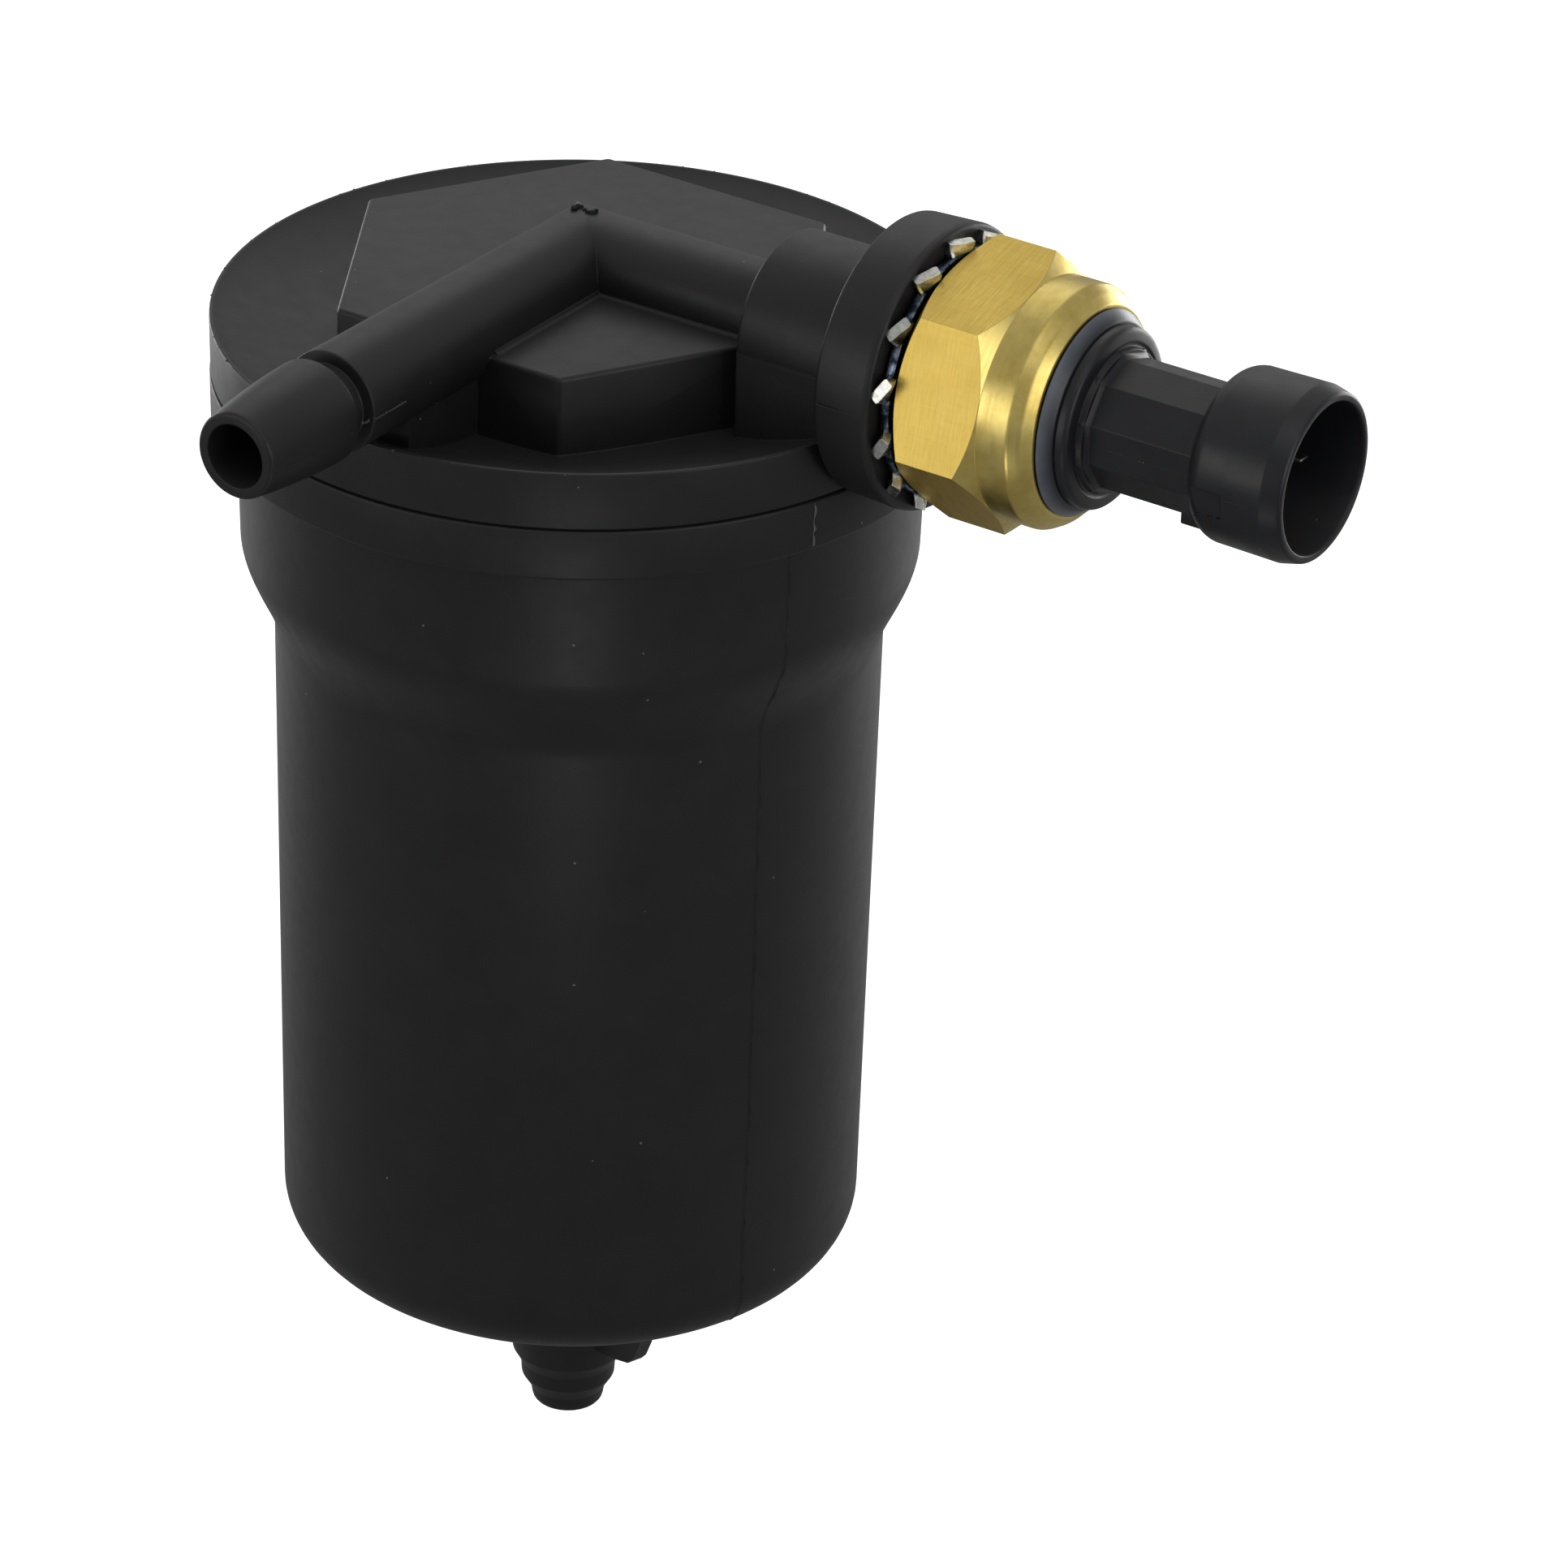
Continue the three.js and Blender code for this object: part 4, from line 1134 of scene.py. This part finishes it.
def brass_body():
    corner = HEX_AF / 2 / math.cos(math.pi / 6)
    hexagon = prism("sensor_brass", corner, 6, (HEX_X[0], HEX_X[1] + 0.5), HEX_TURN, "X")
    cone = [
        (0, HEX_X[0]),
        (HEX_AF / 2 - 0.1, HEX_X[0]),
        (corner + 0.15, HEX_FULL_X[0]),
        (corner + 0.15, HEX_FULL_X[1]),
        (BRASS_R - 0.1, HEX_X[1] + 0.1),
        (0, HEX_X[1] + 0.1),
    ]
    hexagon = intersect(hexagon, lathe("chamfer", cone, ROUND, "X"))
    barrel = rounded([
        (0, STUB_TIP),
        (5.4, STUB_TIP, 0.5),
        (5.4, PORT_X, 0.2),
        (STUB_R, PORT_X + 0.4),
        (STUB_R, HEX_X[0] + 1),
        (BRASS_R, HEX_X[0] + 1),
        (BRASS_R, BRASS_END - 0.2, 1.1),
        (BRASS_R - 0.7, BRASS_END + 1.0, 1.6),
        (LIP_R, LIP_X, 0.4),
        (CAVITY_R, LIP_X, 0.1),
        (CAVITY_R, CAVITY_X, 0.3),
        (1.4, CAVITY_X),
        (1.4, STUB_TIP + 1),
        (0, STUB_TIP + 1),
    ], 6)
    body = union(hexagon, lathe("barrel", barrel, ROUND, "X"))
    body.data.materials.clear()
    body.data.materials.append(MATERIALS["brass"])
    body.data.materials.append(MATERIALS["brass_drawn"])
    for polygon in body.data.polygons:
        centre = polygon.center / MM
        flat = abs(polygon.normal.x) < 0.02 and HEX_X[0] < centre.x < HEX_X[1]
        reach = (centre - Vector((0, 0, AXIS_Z))).dot(polygon.normal)
        polygon.material_index = 1 if flat and abs(reach - HEX_AF / 2) < 0.03 else 0
    return body


def tooth(angle):
    """One washer tooth: a bar that twists out of the ring's plane towards its tip."""
    section = ((-1, -0.8), (-0.8, -1), (0.8, -1), (1, -0.8), (1, 0.8), (0.8, 1), (-0.8, 1), (-1, 0.8))
    turn = math.radians(angle)
    rings = []
    stages = 6
    for i in range(stages + 1):
        share = i / stages
        radius = TOOTH_ROOT_R + (WASHER_R - TOOTH_ROOT_R) * share
        twist = math.radians(TOOTH_TWIST * smoothstep(share))
        wide = TOOTH_WIDE - TOOTH_TAPER * share
        middle = WASHER_X + TOOTH_LEAN * share
        ring = []
        for a, b in section:
            x = a * TOOTH_THICK * math.cos(twist) - b * wide * math.sin(twist)
            across = a * TOOTH_THICK * math.sin(twist) + b * wide * math.cos(twist)
            y = radius * math.sin(turn) + across * math.cos(turn)
            z = radius * math.cos(turn) - across * math.sin(turn)
            ring.append((middle + x, y, AXIS_Z + z))
        rings.append(ring)
    return mesh_object("tooth", *sweep(rings))


def washer():
    low, high = WASHER_X - WASHER_THICK / 2, WASHER_X + WASHER_THICK / 2
    flat = rounded([
        (WASHER_IN, low), (WASHER_ROOT, low, 0.2), (WASHER_ROOT, high, 0.2), (WASHER_IN, high, 0.1),
        (WASHER_IN, low + 0.05),
    ])
    teeth = [tooth(TEETH_TURN + 360 * i / TEETH) for i in range(TEETH)]
    return union(lathe("toothed_washer", flat, ROUND, "X"), *teeth)


def connector():
    plug = rounded([
        (0, HOUSING_X),
        (CAVITY_R - 0.3, HOUSING_X, 0.3),
        (CAVITY_R - 0.3, LIP_X),
        (9.6, LIP_X),
        (9.6, 66.5),
        (10.0, 66.5, 0.3),
        (9.95, 67.9, 0.7),
        (8.5, 68.1, 0.35),
        (8.35, 67.95, 0.1),
        (8.0, 67.95, 0.1),
        (7.8, 68.6),
        (0, 68.6),
    ], 5)
    housing = lathe("connector_moulding", plug, ROUND, "X")
    neck = prism("neck", NECK_CORNER_R, NECK_SIDES, NECK_X, 0.0, "X")
    funnel = [(0, 67.6), (8.1, 67.6), (8.0, 68.4), (NECK_CORNER_R, 69.0), (0, 69.0)]
    root = lathe("root", funnel, NECK_SIDES, "X")
    inset = SHROUD_ROUND + 0.1
    outline = [
        (0, SHROUD_X[0]),
        *arc((SHROUD_R - inset, SHROUD_X[0] + inset), SHROUD_ROUND, -90, -6, 10),
        (SHROUD_R, 91.0, 0.8),
        (MOUTH_R, 93.0, 0.3),
        (MOUTH_R - 0.3, SHROUD_X[1], 0.15),
        (SOCKET_R + 0.15, SHROUD_X[1], 0.1),
        (SOCKET_R, SHROUD_X[1] - 0.4),
        (SOCKET_R, SOCKET_X, 0.4),
        (0, SOCKET_X),
    ]
    shroud = lathe("shroud", rounded(outline), ROUND, "X", SHROUD_Z)
    lug = box("lug", LUG_X, (-3.5, 3.5), (AXIS_Z - LUG_DROP[0], AXIS_Z - LUG_DROP[1]), 0.2)
    housing = union(housing, neck, root, lug, shroud)
    slots = [
        box("slot", (HOUSING_X - 1, SOCKET_X + 1), (y - 1.35, y + 1.35), (AXIS_Z - 1, AXIS_Z + 1))
        for y in (-PIN_STEP, 0, PIN_STEP)
    ]
    notch = box("notch", NOTCH_X, (-11, -SHROUD_R + 0.45), (14, SHROUD_Z - 0.2), 0.15)
    return subtract(housing, notch, *slots)


def terminal(index):
    y = (index - 2) * PIN_STEP
    rings = []
    for x, shrink in ((61.2, 1.0), (PIN_TIP - 1.2, 1.0), (PIN_TIP - 0.3, 0.55), (PIN_TIP, 0.35)):
        half_y = 0.6 + 0.4 * shrink
        half_z = 0.4 * shrink
        ring = [(x, y + a * half_y, AXIS_Z + b * half_z) for a, b in ((-1, -1), (1, -1), (1, 1), (-1, 1))]
        rings.append(ring)
    obj = mesh_object(f"contact_{index}", *sweep(rings))
    bevel_edges(obj, 0.08, 2)
    return obj


def make_sensor():
    piece(brass_body(), "sensor", "brass", "sensor_body", angle=20)
    ridge = thread("sensor_thread", STUB_R, STUB_THREAD_R, SENSOR_PITCH, (39.6, 47.0), "X")
    piece(ridge, "sensor", "brass")
    piece(washer(), "sensor", "zinc", "lock_washer", angle=25)
    ring = rounded([(9.7, 65.1), (11.5, 65.1, 0.2), (10.3, 66.5, 0.3), (9.7, 66.5), (9.7, 65.2)])
    piece(lathe("grey_ring", ring, ROUND, "X"), "sensor", "grey_rubber", "housing_seal")
    piece(connector(), *PLUG, "connector_housing")
    make_connector_marks()
    for i in (1, 2, 3):
        piece(terminal(i), "sensor", "tin", f"terminal_{i}")
    piece(puck("cell", 10.7, 55.6, 59.4, 0.4, "X"), "sensor", "ceramic", "pressure_cell")
    piece(puck("circuit_board", 10.6, 59.9, 60.9, 0.1, "X"), "sensor", "board", "sensor_board")
    seal = ring_outline(8.6, 54.3, 1.0)
    piece(lathe("cell_o_ring", seal, ROUND, "X"), "sensor", "rubber", "cell_seal")
    seal = ring_outline(7.9, 45.8, 1.0)
    piece(lathe("sensor_o_ring", seal, ROUND, "X"), "sensor_ring", "rubber", "sensor_seal")


# ---- stage ----
CAMERA_SPOT = (0.4163, -0.5968, 0.3495)
CAMERA_TURN = (33.05, 28.52, 1.76)  # yaw, pitch and roll in degrees
CAMERA_LENS = 167.7
SENSOR_WIDTH = 36
NEAREST = 0.05
STAGE_HALF = 1600
STAGE_Z = -0.17
LIGHTS = (  # name, place, aim, size and power, in metres and watts
    ("key", (-0.35, -0.75, 0.08), (0.04, 0, 0), (0.5, 0.4), 1.15),
    ("top", (-0.35, 0.4, 0.6), (0, 0, 0), (0.55, 0.4), 0.45),
    ("front_top", (0.25, -0.3, 0.8), (0, 0, 0), (0.6, 0.6), 0.7),
    ("back", (-0.335, 0.516, 0.35), (0, 0, 0.01), (0.4, 0.22), 0.14),
    ("right", (0.75, -0.16, 0.2), (0.06, 0, 0.02), (0.4, 0.5), 1.3),
    ("rim_left", (-0.45, 0.1, -0.04), (0, 0, -0.05), (0.3, 0.24), 0.9),
    ("rim_right", (0.1, 0.45, -0.04), (0, 0, -0.05), (0.3, 0.24), 1.0),
    ("kicker", (0.077, -0.12, -0.065), (0.02, -0.03, -0.006), (0.034, 0.028), 0.01),
)


def make_camera():
    yaw, pitch, roll = (math.radians(angle) for angle in CAMERA_TURN)
    across = Vector((math.cos(yaw), math.sin(yaw), 0))
    toward = Vector((math.sin(yaw), -math.cos(yaw), 0))
    down = toward * math.sin(pitch) - UP * math.cos(pitch)
    ahead = -toward * math.cos(pitch) - UP * math.sin(pitch)
    right = across * math.cos(roll) - down * math.sin(roll)
    down = across * math.sin(roll) + down * math.cos(roll)
    camera = bpy.data.objects.new("camera", bpy.data.cameras.new("camera"))
    camera.data.lens = CAMERA_LENS
    camera.data.sensor_width = SENSOR_WIDTH
    camera.data.clip_start = NEAREST
    turn = Matrix((right, -down, -ahead)).transposed().to_4x4()
    camera.matrix_world = Matrix.Translation(CAMERA_SPOT) @ turn
    bpy.context.scene.collection.objects.link(camera)
    bpy.context.scene.camera = camera


def area_light(name, spot, aim, size, power):
    light = bpy.data.lights.new(name, "AREA")
    light.shape = "RECTANGLE"
    light.size, light.size_y = size
    light.energy = power
    obj = bpy.data.objects.new(name, light)
    obj.location = spot
    obj.visible_camera = False
    obj.rotation_euler = (Vector(aim) - Vector(spot)).to_track_quat("-Z", "Y").to_euler()
    bpy.context.scene.collection.objects.link(obj)


def light_path_mix(tree, seen, lit):
    """A level that is one value to the camera and another to the light that falls on the object."""
    path = tree.nodes.new("ShaderNodeLightPath")
    level = tree.nodes.new("ShaderNodeMapRange")
    level.inputs["To Min"].default_value = lit
    level.inputs["To Max"].default_value = seen
    tree.links.new(path.outputs["Is Camera Ray"], level.inputs["Value"])
    return level.outputs["Result"]


def make_world():
    world = bpy.data.worlds.new("studio")
    world.use_nodes = True
    bpy.context.scene.world = world
    background = world.node_tree.nodes["Background"]
    level = light_path_mix(world.node_tree, 1.05, 0.42)
    world.node_tree.links.new(level, background.inputs["Strength"])
    background.inputs["Color"].default_value = (1, 1, 1, 1)


def make_floor():
    spots = [(x * STAGE_HALF, y * STAGE_HALF, 0) for x, y in ((-1, -1), (1, -1), (1, 1), (-1, 1))]
    floor = mesh_object("floor", spots, [(0, 1, 2, 3)])
    floor.location = (0, 0, STAGE_Z)
    nodes = Nodes("floor")
    cloud = nodes.ramp(nodes.noise(6, 2), [(0.3, (0.29, 0.29, 0.29)), (0.7, (0.31, 0.31, 0.31))])
    glow = light_path_mix(nodes.tree, 1.0, 0.0)
    pale = nodes.finish(Base_Color=cloud, Roughness=0.9, Emission_Color=(1, 1, 1), Emission_Strength=glow)
    floor.data.materials.append(pale)


def make_stage():
    bpy.context.scene.view_settings.view_transform = "Standard"
    make_world()
    make_floor()
    for light in LIGHTS:
        area_light(*light)


# ---- scene ----
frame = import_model()
MATERIALS.update(make_materials())
make_stage()
make_camera()
make_canister()
make_lid()
make_core()
make_basket()
make_sensor()
